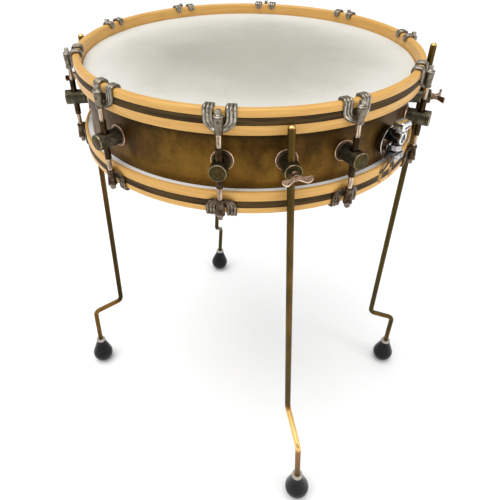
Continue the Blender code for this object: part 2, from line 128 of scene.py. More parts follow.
# How far the patina is rubbed off: on the straight part, on the slant and below it.
LEG_WEAR = {
    "front": (0.10, 0.95, 0.26),
    "right": (0.06, 0.30, 0.18),
    "back": (0.05, 0.12, 0.10),
    "left": (0.14, 0.42, 0.30),
}

# Snare gear.
STRAINER_PLACE = -36.0
BUTT_PLACE = 144.0
GATE_SPREAD = 12.3
GATE_WIDTH = 7.5
GATE_HIGH = -40.0
GATE_LOW = -60.0
KNOB_OUT = 247.0
PIVOT_UP = 2.0
PLATE_SEAT = SHELL_RADIUS + 0.3
DISH_RADIUS = 19.0
DISH_DEPTH = 8.0
DISH_UP = -6.0
AXLE_RADIUS = 5.0
HUB_RADIUS = 8.0
HUB_IN = 231.6
HUB_OUT = 254.0
STRANDS = 20
STRAND_PITCH = 2.4
WIRE_HALF = 198.0
WIRE_PLATE = 12.0


# ---------------------------------------------------------------- shader maths


class Value:
    """A node's output, which Python's operators extend with Math nodes."""

    def __init__(self, finish, socket):
        self.finish = finish
        self.socket = socket

    def __add__(self, other):
        return self.finish.math("ADD", self, other)

    __radd__ = __add__

    def __mul__(self, other):
        return self.finish.math("MULTIPLY", self, other)

    __rmul__ = __mul__

    def __sub__(self, other):
        return self.finish.math("SUBTRACT", self, other)

    def __rsub__(self, other):
        return self.finish.math("SUBTRACT", other, self)

    def __truediv__(self, other):
        return self.finish.math("DIVIDE", self, other)


class Finish:
    """One material, with the constants of its surface and the nodes that vary it."""

    def __init__(self, name, **constants):
        self.material = bpy.data.materials.new(name)
        self.material.use_nodes = True
        self.tree = self.material.node_tree
        self.surface = self.tree.nodes["Principled BSDF"]
        for socket, value in constants.items():
            self.surface.inputs[socket.replace("_", " ")].default_value = value

    def node(self, kind, settings=None, sockets=None, output=0):
        """A node of one type: its settings come first, then the values or links of its sockets."""
        made = self.tree.nodes.new(kind)
        for key, value in (settings or {}).items():
            setattr(made, key, value)
        for key, value in (sockets or {}).items():
            self.feed(made.inputs[key], value)
        return Value(self, made.outputs[output])

    def feed(self, socket, value):
        if isinstance(value, Value):
            self.tree.links.new(value.socket, socket)
        else:
            socket.default_value = value

    def math(self, operation, a, b=0.0):
        return self.node("ShaderNodeMath", {"operation": operation}, {0: a, 1: b})

    def here(self):
        """The place on the piece, in its own axes and in metres."""
        return self.node("ShaderNodeTexCoord", output="Object")

    def parts_of(self, vector):
        return [self.node("ShaderNodeSeparateXYZ", sockets={0: vector}, output=i) for i in range(3)]

    def join(self, x, y, z):
        return self.node("ShaderNodeCombineXYZ", sockets={0: x, 1: y, 2: z})

    def chance(self):
        """A number that differs from piece to piece."""
        return self.node("ShaderNodeObjectInfo", output="Random") * 40.0

    def noise(self, vector, scale, detail=4.0, roughness=0.5, distortion=0.0, w=0.0):
        sockets = {"Vector": vector, "W": w, "Scale": scale, "Detail": detail}
        sockets.update({"Roughness": roughness, "Distortion": distortion})
        return self.node("ShaderNodeTexNoise", {"noise_dimensions": "4D"}, sockets)

    def band(self, value, low, high):
        """0 below low and 1 above high, with a soft step between."""
        sockets = {"Value": value, "From Min": low, "From Max": high}
        return self.node("ShaderNodeMapRange", {"interpolation_type": "SMOOTHSTEP"}, sockets)

    def mix(self, factor, a, b):
        """Colour a where factor is 0 and colour b where it is 1."""
        return self.node("ShaderNodeMix", {"data_type": "RGBA"}, {0: factor, 6: a, 7: b}, output=2)

    def bump(self, height, distance, strength=1.0):
        sockets = {"Strength": strength, "Distance": distance, "Height": height}
        self.feed(self.surface.inputs["Normal"], self.node("ShaderNodeBump", sockets=sockets))

    def colour(self, value):
        self.feed(self.surface.inputs["Base Color"], value)

    def rough(self, value):
        self.feed(self.surface.inputs["Roughness"], value)

    def metal(self, value):
        self.feed(self.surface.inputs["Metallic"], value)


def rgb(red, green, blue):
    return (red, green, blue, 1.0)


# ---------------------------------------------------------------- finishes


def bent_wood(finish, across, along):
    """Grain that runs round a bent hoop: a fine and a broad pattern, and the distance from the axis."""
    x, y, z = finish.parts_of(finish.here())
    radius = finish.math("SQRT", x * x + y * y)
    round_place = finish.join(x / radius * along, y / radius * along, z * across)
    fine = finish.noise(round_place, 1.0, 5.0, 0.6, w=radius * across)
    slow_place = finish.join(x / radius * along * 0.6, y / radius * along * 0.6, z * across * 0.3)
    broad = finish.noise(slow_place, 1.0, 3.0, 0.5, w=radius * across * 0.3)
    return fine, broad


def maple(name, light, deep, coat=0.0):
    finish = Finish(name, Coat_Weight=coat, Coat_Roughness=0.2, Specular_IOR_Level=0.3)
    fine, broad = bent_wood(finish, 1500.0, 9.0)
    tone = finish.band(broad * 0.5 + fine * 0.5, 0.26, 0.74)
    wood = finish.mix(tone, deep, light)
    pores = finish.band(fine, 0.60, 0.74)
    finish.colour(finish.mix(pores * 0.4, wood, rgb(0.44, 0.21, 0.045)))
    finish.rough(0.36 + fine * 0.16)
    finish.bump(fine, 0.00012, 0.35)
    return finish


def inlay():
    finish = Finish("walnut_inlay", Specular_IOR_Level=0.12)
    fine, broad = bent_wood(finish, 900.0, 7.0)
    wood = finish.mix(finish.band(broad, 0.35, 0.65), rgb(0.032, 0.017, 0.005), rgb(0.080, 0.046, 0.013))
    finish.colour(finish.mix(finish.band(fine, 0.5, 0.75) * 0.6, wood, rgb(0.016, 0.009, 0.004)))
    finish.rough(0.5 + fine * 0.14)
    finish.bump(fine, 0.0001, 0.3)
    return finish


def inlay_line():
    finish = Finish("black_line", Specular_IOR_Level=0.1, Roughness=0.6)
    fine, _ = bent_wood(finish, 700.0, 8.0)
    finish.colour(finish.mix(fine, rgb(0.003, 0.002, 0.002), rgb(0.012, 0.007, 0.004)))
    return finish


def shell_brass():
    """Raw brass gone brown, with reddish blotches, brighter towards the lower edge, and a painted shadow just
    under the top hoop.
    """
    finish = Finish("patinated_brass", Specular_IOR_Level=0.15)
    here = finish.here()
    x, y, z = finish.parts_of(here)
    blotches = finish.noise(here, 17.0, 6.0, 0.62, 0.6)
    runs = finish.noise(finish.join(x * 24.0, y * 24.0, z * 14.0), 1.0, 5.0, 0.6)
    specks = finish.noise(here, 210.0, 4.0, 0.6)
    drift = finish.band(z, 0.040, -0.045)
    worn = finish.band(blotches * 0.5 + runs * 0.3 + specks * 0.1 + drift * 0.16, 0.40, 0.70)
    brown = finish.mix(specks, rgb(0.030, 0.0145, 0.003), rgb(0.070, 0.035, 0.005))
    patina = finish.mix(worn, brown, rgb(0.200, 0.104, 0.018))
    reddish = finish.band(finish.noise(finish.join(x * 40.0, y * 40.0, z * 16.0), 1.0, 4.0, 0.6), 0.52, 0.72)
    tinted = finish.mix(reddish * 0.5, patina, rgb(0.140, 0.058, 0.016))
    # Painted shadow: the shell is darkened in a band just under the top hoop's lower edge. The spots below
    # are real dirt, and both darken the colour together.
    painted_hoop_shadow = finish.band(z, 0.019, 0.034) * 0.88
    spots = finish.band(finish.noise(here, 62.0, 3.0, 0.5), 0.66, 0.74) * 0.6
    dirt_and_hoop_shadow = finish.math("MAXIMUM", painted_hoop_shadow, spots)
    finish.colour(finish.mix(dirt_and_hoop_shadow, tinted, rgb(0.014, 0.009, 0.003)))
    finish.rough(0.46 - worn * 0.14 + specks * 0.10)
    finish.metal(0.80 + worn * 0.18)
    finish.bump(specks * 0.5 + blotches * 0.5, 0.0003, 0.25)
    return finish


def aged_metal(name, dark, light, scale, rough, metal, wear=(0.40, 0.66), grain=0.2):
    """A cast or turned metal piece whose patina is worn through in patches."""
    finish = Finish(name, Specular_IOR_Level=0.2)
    here = finish.here()
    chance = finish.chance()
    patches = finish.noise(here, scale, 5.0, 0.6, 0.3, w=chance)
    specks = finish.noise(here, scale * 7.0, 4.0, 0.6, w=chance)
    worn = finish.band(patches * 0.75 + specks * 0.25, *wear)
    finish.colour(finish.mix(worn, rgb(*dark), rgb(*light)))
    finish.rough(rough + 0.14 * specks - 0.10 * worn)
    finish.metal(metal + 0.1 * worn)
    finish.bump(specks, 0.0002, grain)
    return finish


def leg_brass():
    """Drawn brass rod: dark patina, rubbed golden where the piece's own wear says so, and darkened on one
    side by painted shade.
    """
    finish = Finish("leg_brass", Specular_IOR_Level=0.15)
    here = finish.here()
    x, y, z = finish.parts_of(here)
    chance = finish.chance()
    patches = finish.noise(finish.join(x * 60.0, y * 60.0, z * 16.0), 1.0, 5.0, 0.6, w=chance)
    specks = finish.noise(here, 420.0, 4.0, 0.6, w=chance)
    rubbed = finish.node("ShaderNodeAttribute", {"attribute_name": "rubbed"}, output="Fac")
    olive = finish.mix(patches, rgb(0.024, 0.018, 0.004), rgb(0.100, 0.068, 0.016))
    # Painted shade: the side of the rod whose normals point along the station's y is darkened almost to
    # black.
    painted_side_shade = finish.node("ShaderNodeAttribute", {"attribute_name": "painted_side_shade"}, output="Fac")
    deep = finish.mix(painted_side_shade * 0.8, olive, rgb(0.012, 0.009, 0.003))
    orange = finish.mix(finish.band(rubbed, 0.45, 0.90), rgb(0.60, 0.27, 0.06), rgb(0.86, 0.57, 0.21))
    worn = finish.band(rubbed + patches * 0.35 + specks * 0.12, 0.35, 1.15)
    finish.colour(finish.mix(worn, deep, orange))
    finish.rough(0.40 - worn * 0.16 + specks * 0.10)
    finish.metal(0.93 + worn * 0.05)
    finish.bump(specks, 0.00015, 0.2)
    return finish


def coated_head():
    """White coating, ivory towards the rim and smudged grey where it is played."""
    finish = Finish("coated_film")
    here = finish.here()
    x, y, _ = finish.parts_of(here)
    radius = finish.math("SQRT", x * x + y * y)
    cloud = finish.noise(here, 7.0, 5.0, 0.6, 0.4)
    grit = finish.noise(here, 900.0, 3.0, 0.6)
    streaks = finish.noise(finish.join(x * 60.0, y * 22.0, 0.0), 1.0, 4.0, 0.65, 0.8)
    played = finish.band(radius + cloud * 0.14 - 0.07, 0.225, 0.06)
    clean = finish.mix(finish.band(radius, 0.15, 0.222), rgb(0.560, 0.548, 0.484), rgb(0.660, 0.654, 0.604))
    smudge = finish.mix(cloud, rgb(0.300, 0.294, 0.244), rgb(0.42, 0.410, 0.345))
    film = finish.mix(played * 0.9, clean, smudge)
    mottle = finish.noise(here, 210.0, 4.0, 0.7)
    marks = finish.band(streaks, 0.60, 0.78) * finish.band(cloud, 0.40, 0.60) * 0.35
    scuffs = finish.band(mottle, 0.50, 0.74) * (0.10 + played * 0.22)
    finish.colour(finish.mix(marks + scuffs, film, rgb(0.24, 0.235, 0.195)))
    finish.rough(0.62 + grit * 0.18)
    finish.bump(grit, 0.00015, 0.35)
    return finish


def clear_film():
    finish = Finish("hazy_film", Coat_Weight=0.3)
    cloud = finish.noise(finish.here(), 9.0, 4.0, 0.5)
    finish.colour(finish.mix(cloud, rgb(0.90, 0.90, 0.88), rgb(0.95, 0.95, 0.94)))
    finish.rough(0.28 + cloud * 0.2)
    return finish


def rubber():
    finish = Finish("foot_rubber", Specular_IOR_Level=0.22)
    grain = finish.noise(finish.here(), 700.0, 4.0, 0.6, w=finish.chance())
    dust = finish.band(finish.noise(finish.here(), 45.0, 4.0, 0.6, w=finish.chance()), 0.50, 0.80)
    finish.colour(finish.mix(dust * 0.35, rgb(0.004, 0.004, 0.005), rgb(0.020, 0.019, 0.018)))
    finish.rough(0.14 + grain * 0.14)
    finish.bump(grain, 0.0002, 0.3)
    return finish


def ring_plastic():
    finish = Finish("ivory_ring", Roughness=0.5)
    cloud = finish.noise(finish.here(), 120.0, 4.0, 0.6, w=finish.chance())
    finish.colour(finish.mix(cloud, rgb(0.26, 0.23, 0.18), rgb(0.52, 0.48, 0.41)))
    return finish


def plating(name, clean, hazed, rough):
    """Bright plating with haze in clouds."""
    finish = Finish(name, Metallic=1.0)
    haze = finish.noise(finish.here(), 90.0, 5.0, 0.6, w=finish.chance())
    finish.colour(finish.mix(finish.band(haze, 0.42, 0.72), clean, hazed))
    finish.rough(rough + haze * 0.16)
    return finish


def drawn_bar(name, dark, light):
    """Bright drawn metal with streaks along its length."""
    finish = Finish(name, Metallic=1.0)
    x, y, z = finish.parts_of(finish.here())
    drawn = finish.noise(finish.join(x * 900.0, y * 900.0, z * 90.0), 1.0, 4.0, 0.6, w=finish.chance())
    finish.colour(finish.mix(finish.band(drawn, 0.35, 0.65), dark, light))
    finish.rough(0.22 + drawn * 0.2)
    return finish


def strap_weave():
    finish = Finish("black_webbing", Roughness=0.8)
    x, y, z = finish.parts_of(finish.here())
    waves = finish.math("SINE", y * 9000.0) * finish.math("SINE", (x + z) * 6000.0)
    finish.colour(finish.mix(waves * 0.5 + 0.5, rgb(0.006, 0.006, 0.006), rgb(0.030, 0.030, 0.030)))
    finish.bump(waves, 0.0001, 0.5)
    return finish


# The material's name, its dark patina and worn metal, the scale of the pattern, the roughness and the
# metallic share. Some also have where the wear starts and is full, and how strong the grain is.
AGED_METALS = {
    "post_brass": ("post_brass", (0.04, 0.034, 0.018), (0.135, 0.12, 0.084), 90, 0.36, 0.9),
    "post_face": ("post_face_brass", (0.038, 0.029, 0.008), (0.08, 0.06, 0.02), 110, 0.42, 0.85),
    # The recess finish is near black: painted shade in the posts' pockets round the sleeves.
    "recess": ("painted_pocket_shade", (0.004, 0.003, 0.002), (0.012, 0.009, 0.006), 90, 0.6, 0.3),
    "sleeve_brass": ("sleeve_brass", (0.022, 0.012, 0.004), (0.075, 0.047, 0.02), 120, 0.36, 0.85),
    "worn_edge": ("worn_brass_edge", (0.11, 0.085, 0.045), (0.46, 0.37, 0.23), 160, 0.34, 0.9, (0.36, 0.66)),
    "flange_face": ("flange_face_brass", (0.05, 0.028, 0.009), (0.16, 0.092, 0.034), 120, 0.4, 0.85),
    "copper_rim": ("coppery_flange", (0.34, 0.19, 0.11), (0.9, 0.62, 0.45), 140, 0.3, 0.9, (0.34, 0.66)),
    "pewter": ("worn_pewter", (0.06, 0.04, 0.022), (0.24, 0.208, 0.16), 240, 0.36, 0.88, (0.34, 0.62), 0.4),
    "pewter_bright": (
        "worn_pewter_bright", (0.15, 0.124, 0.088), (0.52, 0.48, 0.41), 260, 0.32, 0.9, (0.3, 0.66)
    ),
    "pewter_brown": (
        "brown_pewter", (0.034, 0.019, 0.009), (0.15, 0.108, 0.07), 240, 0.38, 0.88, (0.38, 0.66), 0.4
    ),
    "pewter_dull": (
        "dull_pewter", (0.075, 0.05, 0.03), (0.3, 0.255, 0.2), 240, 0.34, 0.9, (0.36, 0.66), 0.4
    ),
    "wing_copper": (
        "coppery_wings", (0.085, 0.048, 0.025), (0.34, 0.225, 0.15), 150, 0.34, 0.88, (0.34, 0.64)
    ),
    # Brighter coppery rims on the wings: painted highlights.
    "wing_highlight": ("painted_wing_highlight", (0.42, 0.27, 0.18), (0.98, 0.78, 0.62), 150, 0.26, 0.92, (0.3, 0.66)),
}


def all_finishes():
    finishes = {
        "maple": maple("maple_lacquered", rgb(0.74, 0.440, 0.125), rgb(0.57, 0.290, 0.066), 0.15),
        "bare_maple": maple("maple_bare", rgb(0.92, 0.66, 0.32), rgb(0.76, 0.47, 0.17)),
        "inlay": inlay(),
        "inlay_line": inlay_line(),
        "shell_brass": shell_brass(),
        "leg_brass": leg_brass(),
        "coated": coated_head(),
        "clear": clear_film(),
        "rubber": rubber(),
        "ivory": ring_plastic(),
        "chrome": plating("strainer_chrome", rgb(0.52, 0.52, 0.52), rgb(0.20, 0.19, 0.17), 0.08),
        "chrome_edge": plating("bright_chrome_edge", rgb(0.80, 0.80, 0.80), rgb(0.55, 0.54, 0.52), 0.08),
        "gunmetal": plating("strainer_gunmetal", rgb(0.095, 0.099, 0.108), rgb(0.230, 0.228, 0.225), 0.12),
        "steel": drawn_bar("bright_steel", rgb(0.42, 0.40, 0.37), rgb(0.74, 0.72, 0.69)),
        "rod_copper": drawn_bar("coppery_rod", rgb(0.27, 0.175, 0.115), rgb(0.95, 0.80, 0.64)),
        # Chrome tinted with the shell's brown: a painted reflection of the shell, used in the strainer's
        # dish.
        "painted_shell_reflection": plating("painted_shell_reflection", rgb(0.280, 0.180, 0.090), rgb(0.110, 0.070, 0.036), 0.14),
        "strap": strap_weave(),
    }
    for key, numbers in AGED_METALS.items():
        finishes[key] = aged_metal(*numbers)
    return finishes


FINISHES = all_finishes()


# ---------------------------------------------------------------- mesh making


def closed(bm, finish=None):
    """Turns every face outward and returns the mesh, still in millimetres."""
    bmesh.ops.recalc_face_normals(bm, faces=bm.faces)
    if bm.calc_volume(signed=True) < 0.0:
        bmesh.ops.reverse_faces(bm, faces=bm.faces)
    mesh = bpy.data.meshes.new("shape")
    bm.to_mesh(mesh)
    bm.free()
    if finish:
        mesh.materials.append(FINISHES[finish].material)
    return mesh


def turned(sections, steps, whole=False):
    """A full turn about z of (finish, points) sections, whose points are (radius, height). whole closes
    the outline into a ring, from its last point back to its first."""
    names = list(dict.fromkeys(finish for finish, _ in sections))
    points, kinds = [], []
    for finish, places in sections:
        fresh = places[1:] if points else places
        kinds += [names.index(finish)] * (len(fresh) - (0 if points else 1))
        points += fresh
    bm = bmesh.new()
    rings = []
    for radius, height in points:
        count = steps if radius > 1e-6 else 1
        turns = [math.tau * k / steps for k in range(count)]
        rings.append([bm.verts.new((radius * math.cos(t), radius * math.sin(t), height)) for t in turns])
    pairs = list(zip(rings, rings[1:], kinds))
    if whole:
        pairs.append((rings[-1], rings[0], kinds[-1]))
    for low, high, kind in pairs:
        for k in range(steps):
            n = (k + 1) % steps
            corners = [low[k % len(low)], low[n % len(low)], high[n % len(high)], high[k % len(high)]]
            bm.faces.new(list(dict.fromkeys(corners))).material_index = kind
    mesh = closed(bm)
    for name in names:
        mesh.materials.append(FINISHES[name].material)
    return mesh


def lofted(rings, finish, accent=None, columns=()):
    """A solid through rings of equally many points, with flat ends. Some columns of its faces may take
    an accent finish."""
    bm = bmesh.new()
    loops = [[bm.verts.new(point) for point in corners] for corners in rings]
    for low, high in zip(loops, loops[1:]):
        for i in range(len(low)):
            j = (i + 1) % len(low)
            face = bm.faces.new((low[i], low[j], high[j], high[i]))
            face.material_index = 1 if i in columns else 0
    bm.faces.new(loops[0])
    bm.faces.new(loops[-1])
    mesh = closed(bm, finish)
    if accent:
        mesh.materials.append(FINISHES[accent].material)
    return mesh


def block(low, high, bevel, finish, segments=3):
    bm = bmesh.new()
    bmesh.ops.create_cube(bm, size=1.0)
    size = Vector(high) - Vector(low)
    bmesh.ops.scale(bm, verts=bm.verts, vec=size)
    bmesh.ops.translate(bm, verts=bm.verts, vec=(Vector(high) + Vector(low)) / 2)
    bmesh.ops.bevel(bm, geom=list(bm.edges), offset=bevel, segments=segments, profile=0.5, affect="EDGES")
    return closed(bm, finish)


def finished_like(mesh, source):
    for material in source.materials:
        mesh.materials.append(material)
    return mesh


def moved(mesh, matrix):
    bm = bmesh.new()
    bm.from_mesh(mesh)
    bm.transform(matrix)
    return finished_like(closed(bm), mesh)


def shifted(mesh, x=0.0, y=0.0, z=0.0):
    return moved(mesh, Matrix.Translation((x, y, z)))


def upside_down(mesh):
    return moved(mesh, Matrix.Scale(-1.0, 4, (0, 0, 1)))


def outward(mesh):
    return moved(mesh, Matrix.Rotation(math.pi / 2, 4, "Y"))


def gathered(*meshes):
    """One mesh from several, each of which keeps its finishes."""
    materials = []
    bm = bmesh.new()
    for mesh in meshes:
        for material in mesh.materials:
            if material not in materials:
                materials.append(material)
        start = len(bm.faces)
        bm.from_mesh(mesh)
        bm.faces.ensure_lookup_table()
        for face in bm.faces[start:]:
            face.material_index = materials.index(mesh.materials[face.material_index])
    whole = bpy.data.meshes.new("shape")
    bm.to_mesh(whole)
    bm.free()
    for material in materials:
        whole.materials.append(material)
    return whole


def carved(mesh, cutters, finish):
    """The mesh less its cutters, with the given finish on the cut faces."""
    material = FINISHES[finish].material
    if material not in list(mesh.materials):
        mesh.materials.append(material)
    index = list(mesh.materials).index(material)
    scene = bpy.context.scene.collection
    body = bpy.data.objects.new("shape", mesh)
    scene.objects.link(body)
    tools = []
    for cutter in cutters:
        for face in cutter.polygons:
            face.material_index = index
        tool = bpy.data.objects.new("cutter", cutter)
        scene.objects.link(tool)
        step = body.modifiers.new("cut", "BOOLEAN")
        step.operation = "DIFFERENCE"
        step.object = tool
        tools.append(tool)
    graph = bpy.context.evaluated_depsgraph_get()
    result = bpy.data.meshes.new_from_object(body.evaluated_get(graph))
    for made in (body, *tools):
        bpy.data.objects.remove(made)
    return result


def scaled(mesh, sharp=35.0):
    """The same mesh in metres, shaded smooth except over its sharp edges."""
    done = mesh.copy()
    done.transform(Matrix.Scale(MM, 4))
    done.shade_smooth()
    done.set_sharp_from_angle(angle=math.radians(sharp))
    return done


def piece(name, mesh, body, slot, *nodes, origin=(0.0, 0.0, 0.0), turn=(0.0, 0.0, 0.0)):
    """One piece of the object: it rides on a body and stands for CAD nodes, which it hides. The slot is not
    used.
    """
    made = bpy.data.objects.new(name, mesh)
    made.location = Vector(origin) * MM
    made.rotation_euler = turn
    bpy.context.scene.collection.objects.link(made)
    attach(made, body)
    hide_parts(*nodes)
    return made


def at_station(name, mesh, body, slot, node, degrees, radius=0.0, height=MIDDLE):
    angle = math.radians(degrees)
    origin = (radius * math.cos(angle), radius * math.sin(angle), height)
    return piece(name, mesh, body, slot, node, origin=origin, turn=(0.0, 0.0, angle))


def around_axis(name, mesh, slot, node):
    return at_station(name, scaled(mesh), "drum", slot, node, 0.0)


def arc(centre, radius, start, end, count):
    """Points on a circle between two angles in degrees, both ends included."""
    steps = [math.radians(start + (end - start) * i / (count - 1)) for i in range(count)]
    return [(centre[0] + radius * math.cos(a), centre[1] + radius * math.sin(a)) for a in steps]


def smoothed(rows, steps):
    """Rows of numbers, with more rows between them on a smooth curve."""
    result = []
    for i in range(len(rows) - 1):
        a, b, c, d = rows[max(i - 1, 0)], rows[i], rows[i + 1], rows[min(i + 2, len(rows) - 1)]
        for k in range(steps):
            t = k / steps
            row = []
            for p, q, r, s in zip(a, b, c, d):
                bend = (2 * p - 5 * q + 4 * r - s) * t * t + (3 * q - p - 3 * r + s) * t**3
                row.append(0.5 * (2 * q + (r - p) * t + bend))
            result.append(tuple(row))
    result.append(tuple(rows[-1]))
    return result


def filleted(points, radius, count=9):
    """The same path with each corner rounded by an arc."""
    path = [points[0]]
    for before, corner, after in zip(points, points[1:], points[2:]):
        back = (before - corner).normalized()
        ahead = (after - corner).normalized()
        half = back.angle(ahead) / 2
        reach = radius / math.tan(half)
        centre = corner + (back + ahead).normalized() * radius / math.sin(half)
        first = (corner + back * reach - centre).normalized()
        last = (corner + ahead * reach - centre).normalized()
        for i in range(count):
            path.append(centre + first.slerp(last, i / (count - 1)) * radius)
    path.append(points[-1])
    return path


def heading(points, i):
    """Direction of a path at its i-th point."""
    before, after = points[max(i - 1, 0)], points[min(i + 1, len(points) - 1)]
    return Vector([b - a for a, b in zip(before, after)]).normalized()


def round_tube(path, radii, sides):
    """Rings of points along a path, each square to it."""
    rings = []
    side = Vector((1.0, 0.0, 0.0))
    for i, point in enumerate(path):
        along = heading(path, i)
        side = (side - along * side.dot(along)).normalized()
        up = along.cross(side)
        turns = [math.tau * k / sides for k in range(sides)]
        rings.append([point + (side * math.cos(t) + up * math.sin(t)) * radii[i] for t in turns])
    return rings


def threaded(radius, start, end):
    """Outline points of a threaded rod between two heights."""
    count = int(abs(end - start) / THREAD_PITCH)
    step = (end - start) / count
    points = []
    for i in range(count):
        points += [(radius, start + step * i), (radius - THREAD_DEPTH, start + step * (i + 0.5))]
    return points + [(radius, end)]


# ---------------------------------------------------------------- the drum


def shell():
    """Rolled brass cylinder, open at both ends."""
    inner = SHELL_RADIUS - SHELL_WALL
    edge = 0.4
    outline = [(SHELL_RADIUS - edge, -SHELL_HALF), (SHELL_RADIUS, edge - SHELL_HALF)]
    outline += [(SHELL_RADIUS, height) for height in (-32.0, -16.0, 0.0, 16.0, 32.0)]
    outline += [(SHELL_RADIUS, SHELL_HALF - edge), (SHELL_RADIUS - edge, SHELL_HALF), (inner, SHELL_HALF)]
    outline += [(inner, 0.0), (inner, -SHELL_HALF)]
    mesh = turned([("shell_brass", outline)], ROUND_STEPS, whole=True)
    around_axis("rolled_brass_shell", mesh, "aged_brass", "shell")


def hoop():
    """The top hoop with its inlaid stripe, heights counted from the drum's middle."""
    low = HALF - HOOP_DEPTH
    turn_in = (HOOP_BORE + HOOP_ROUND, HALF - HOOP_ROUND)
    turn_out = (HOOP_RADIUS - HOOP_ROUND, HALF - HOOP_ROUND)
    high, stripe = HALF - INLAY_HIGH, HALF - INLAY_LOW
    crown = arc(turn_in, HOOP_ROUND, 180, 90, 9) + arc(turn_out, HOOP_ROUND, 90, 0, 9)
    foot = [(HOOP_RADIUS, low + 1.6), (HOOP_RADIUS - 0.5, low + 0.5), (HOOP_RADIUS - 1.6, low)]
    step = [(HOOP_SKIRT_BORE, low), (HOOP_SKIRT_BORE, HALF - HOOP_STEP), (HOOP_BORE, HALF - HOOP_STEP)]
    sections = [
        ("maple", crown + [(HOOP_RADIUS, high)]),
        ("inlay_line", [(HOOP_RADIUS, high), (HOOP_RADIUS, high - INLAY_LINE)]),
        ("inlay", [(HOOP_RADIUS, high - INLAY_LINE), (HOOP_RADIUS, stripe + INLAY_LINE)]),
        ("inlay_line", [(HOOP_RADIUS, stripe + INLAY_LINE), (HOOP_RADIUS, stripe)]),
        ("maple", [(HOOP_RADIUS, stripe)] + foot + step),
    ]
    return turned(sections, ROUND_STEPS, whole=True)


def gate_cutters():
    """The slots that let the snare straps through two sides of the bottom hoop."""
    for place in (STRAINER_PLACE, BUTT_PLACE):
        turn = Matrix.Rotation(math.radians(place), 4, "Z")
        for centre in (-GATE_SPREAD, GATE_SPREAD):
            a, b = centre - GATE_WIDTH / 2, centre + GATE_WIDTH / 2
            slot = block((HOOP_BORE - 6.0, a, GATE_LOW), (HOOP_RADIUS + 6.0, b, GATE_HIGH), 1.6, "bare_maple")
            yield moved(slot, turn)


def hoops():
    top = hoop()
    around_axis("maple_hoop_top", top, "maple", "top_hoop")
    bottom = carved(upside_down(top), list(gate_cutters()), "bare_maple")
    around_axis("maple_hoop_bottom", bottom, "maple", "bottom_hoop")


def head(finish):
    """Film pulled over the shell's edge and down to the flesh hoop."""
    film = HALF - HEAD_SINK
    rim = SHELL_RADIUS + 1.0
    flesh_out = HOOP_SKIRT_BORE - 0.6
    flesh_top = HALF - HOOP_STEP - 0.3
    flesh_low = HALF - HOOP_DEPTH + 1.2
    face = [(0.0, film), (60.0, film), (120.0, film), (180.0, film)]
    collar = arc((rim - 2.2, film - 2.2), 2.2, 90, 0, 7) + [(rim, flesh_top)]
    flesh = [(flesh_out - 0.8, flesh_top), (flesh_out, flesh_top - 0.8), (flesh_out, flesh_low)]
    inside = [(rim - 0.5, flesh_low), (rim - 0.5, film - 2.0), (rim - 2.0, film - 0.5), (0.0, film - 0.5)]
    return turned([(finish, face + collar + flesh + inside)], ROUND_STEPS)


def heads():
    around_axis("coated_batter_head", head("coated"), "coated_white", "batter_head")
    around_axis("thin_snare_head", upside_down(head("clear")), "clear_white", "snare_side_head")


def post(bore_face=0.0):
    """A post with its flange, lying along its station's x."""
    seat = SHELL_RADIUS + 0.2
    back = [(0.0, seat), (FLANGE_RADIUS - 0.3, seat)]
    rim = [(FLANGE_RADIUS - 0.3, seat), (FLANGE_RADIUS, seat + 0.3), (FLANGE_RADIUS, seat + 1.2)]
    rim += [(FLANGE_RADIUS - 0.4, seat + 1.7), (FLANGE_RADIUS - 1.0, seat + 1.8)]
    neck = [(FLANGE_RADIUS - 1.0, seat + 1.8), (POST_RADIUS + 0.9, seat + 1.7)]
    side = arc((POST_RADIUS + 0.9, seat + 2.6), 0.9, 270, 180, 5) + [(POST_RADIUS, POST_END - 0.9)]
    edge = arc((POST_RADIUS - 0.9, POST_END - 0.9), 0.9, 0, 80, 5)
    groove = POST_RADIUS - 2.4
    face = [edge[-1], (groove + 0.4, POST_END), (groove, POST_END - 0.25), (groove - 0.4, POST_END)]
    face += [(bore_face, POST_END)]
    if bore_face:
        face += [(bore_face, POST_END - 4.0), (0.0, POST_END - 4.0)]
    sections = [("flange_face", back), ("copper_rim", rim), ("flange_face", neck)]
    sections += [("post_brass", [neck[-1]] + side[1:]), ("worn_edge", [side[-1]] + edge[1:])]
    return outward(turned(sections + [("post_face", face)], 64))


def lugs():
    """Tube lugs: a post with an upright sleeve through it for the two tension rods."""
    # The pockets cut round the sleeves take the near-black recess finish, which is painted shade.
    hole = [(0.0, 5.6), (POCKET_RADIUS, 5.6), (POCKET_RADIUS, 16.0), (0.0, 16.0)]
    pocket = shifted(turned([("recess", hole)], 48), x=ROD_CIRCLE)
    body = carved(post(), [pocket, upside_down(pocket)], "recess")
    tube = [(SLEEVE_RADIUS, 0.0), (SLEEVE_RADIUS, SLEEVE_HALF - 0.5), (SLEEVE_RADIUS - 0.25, SLEEVE_HALF)]
    tube += [(SLEEVE_BORE, SLEEVE_HALF), (SLEEVE_BORE, SLEEVE_HALF - 6.0), (0.0, SLEEVE_HALF - 6.0)]
    half_tube = [(0.0, 0.0)] + tube
    upper = shifted(turned([("sleeve_brass", half_tube)], 32), x=ROD_CIRCLE)
    lug = scaled(gathered(body, upper, upside_down(upper)))
    for i in range(LUG_COUNT):
        degrees = FIRST_LUG + LUG_STEP * i
        at_station(f"lug_post_{i + 1}", lug, "drum", "dark_brass", f"tube_lug_{i + 1}", degrees)


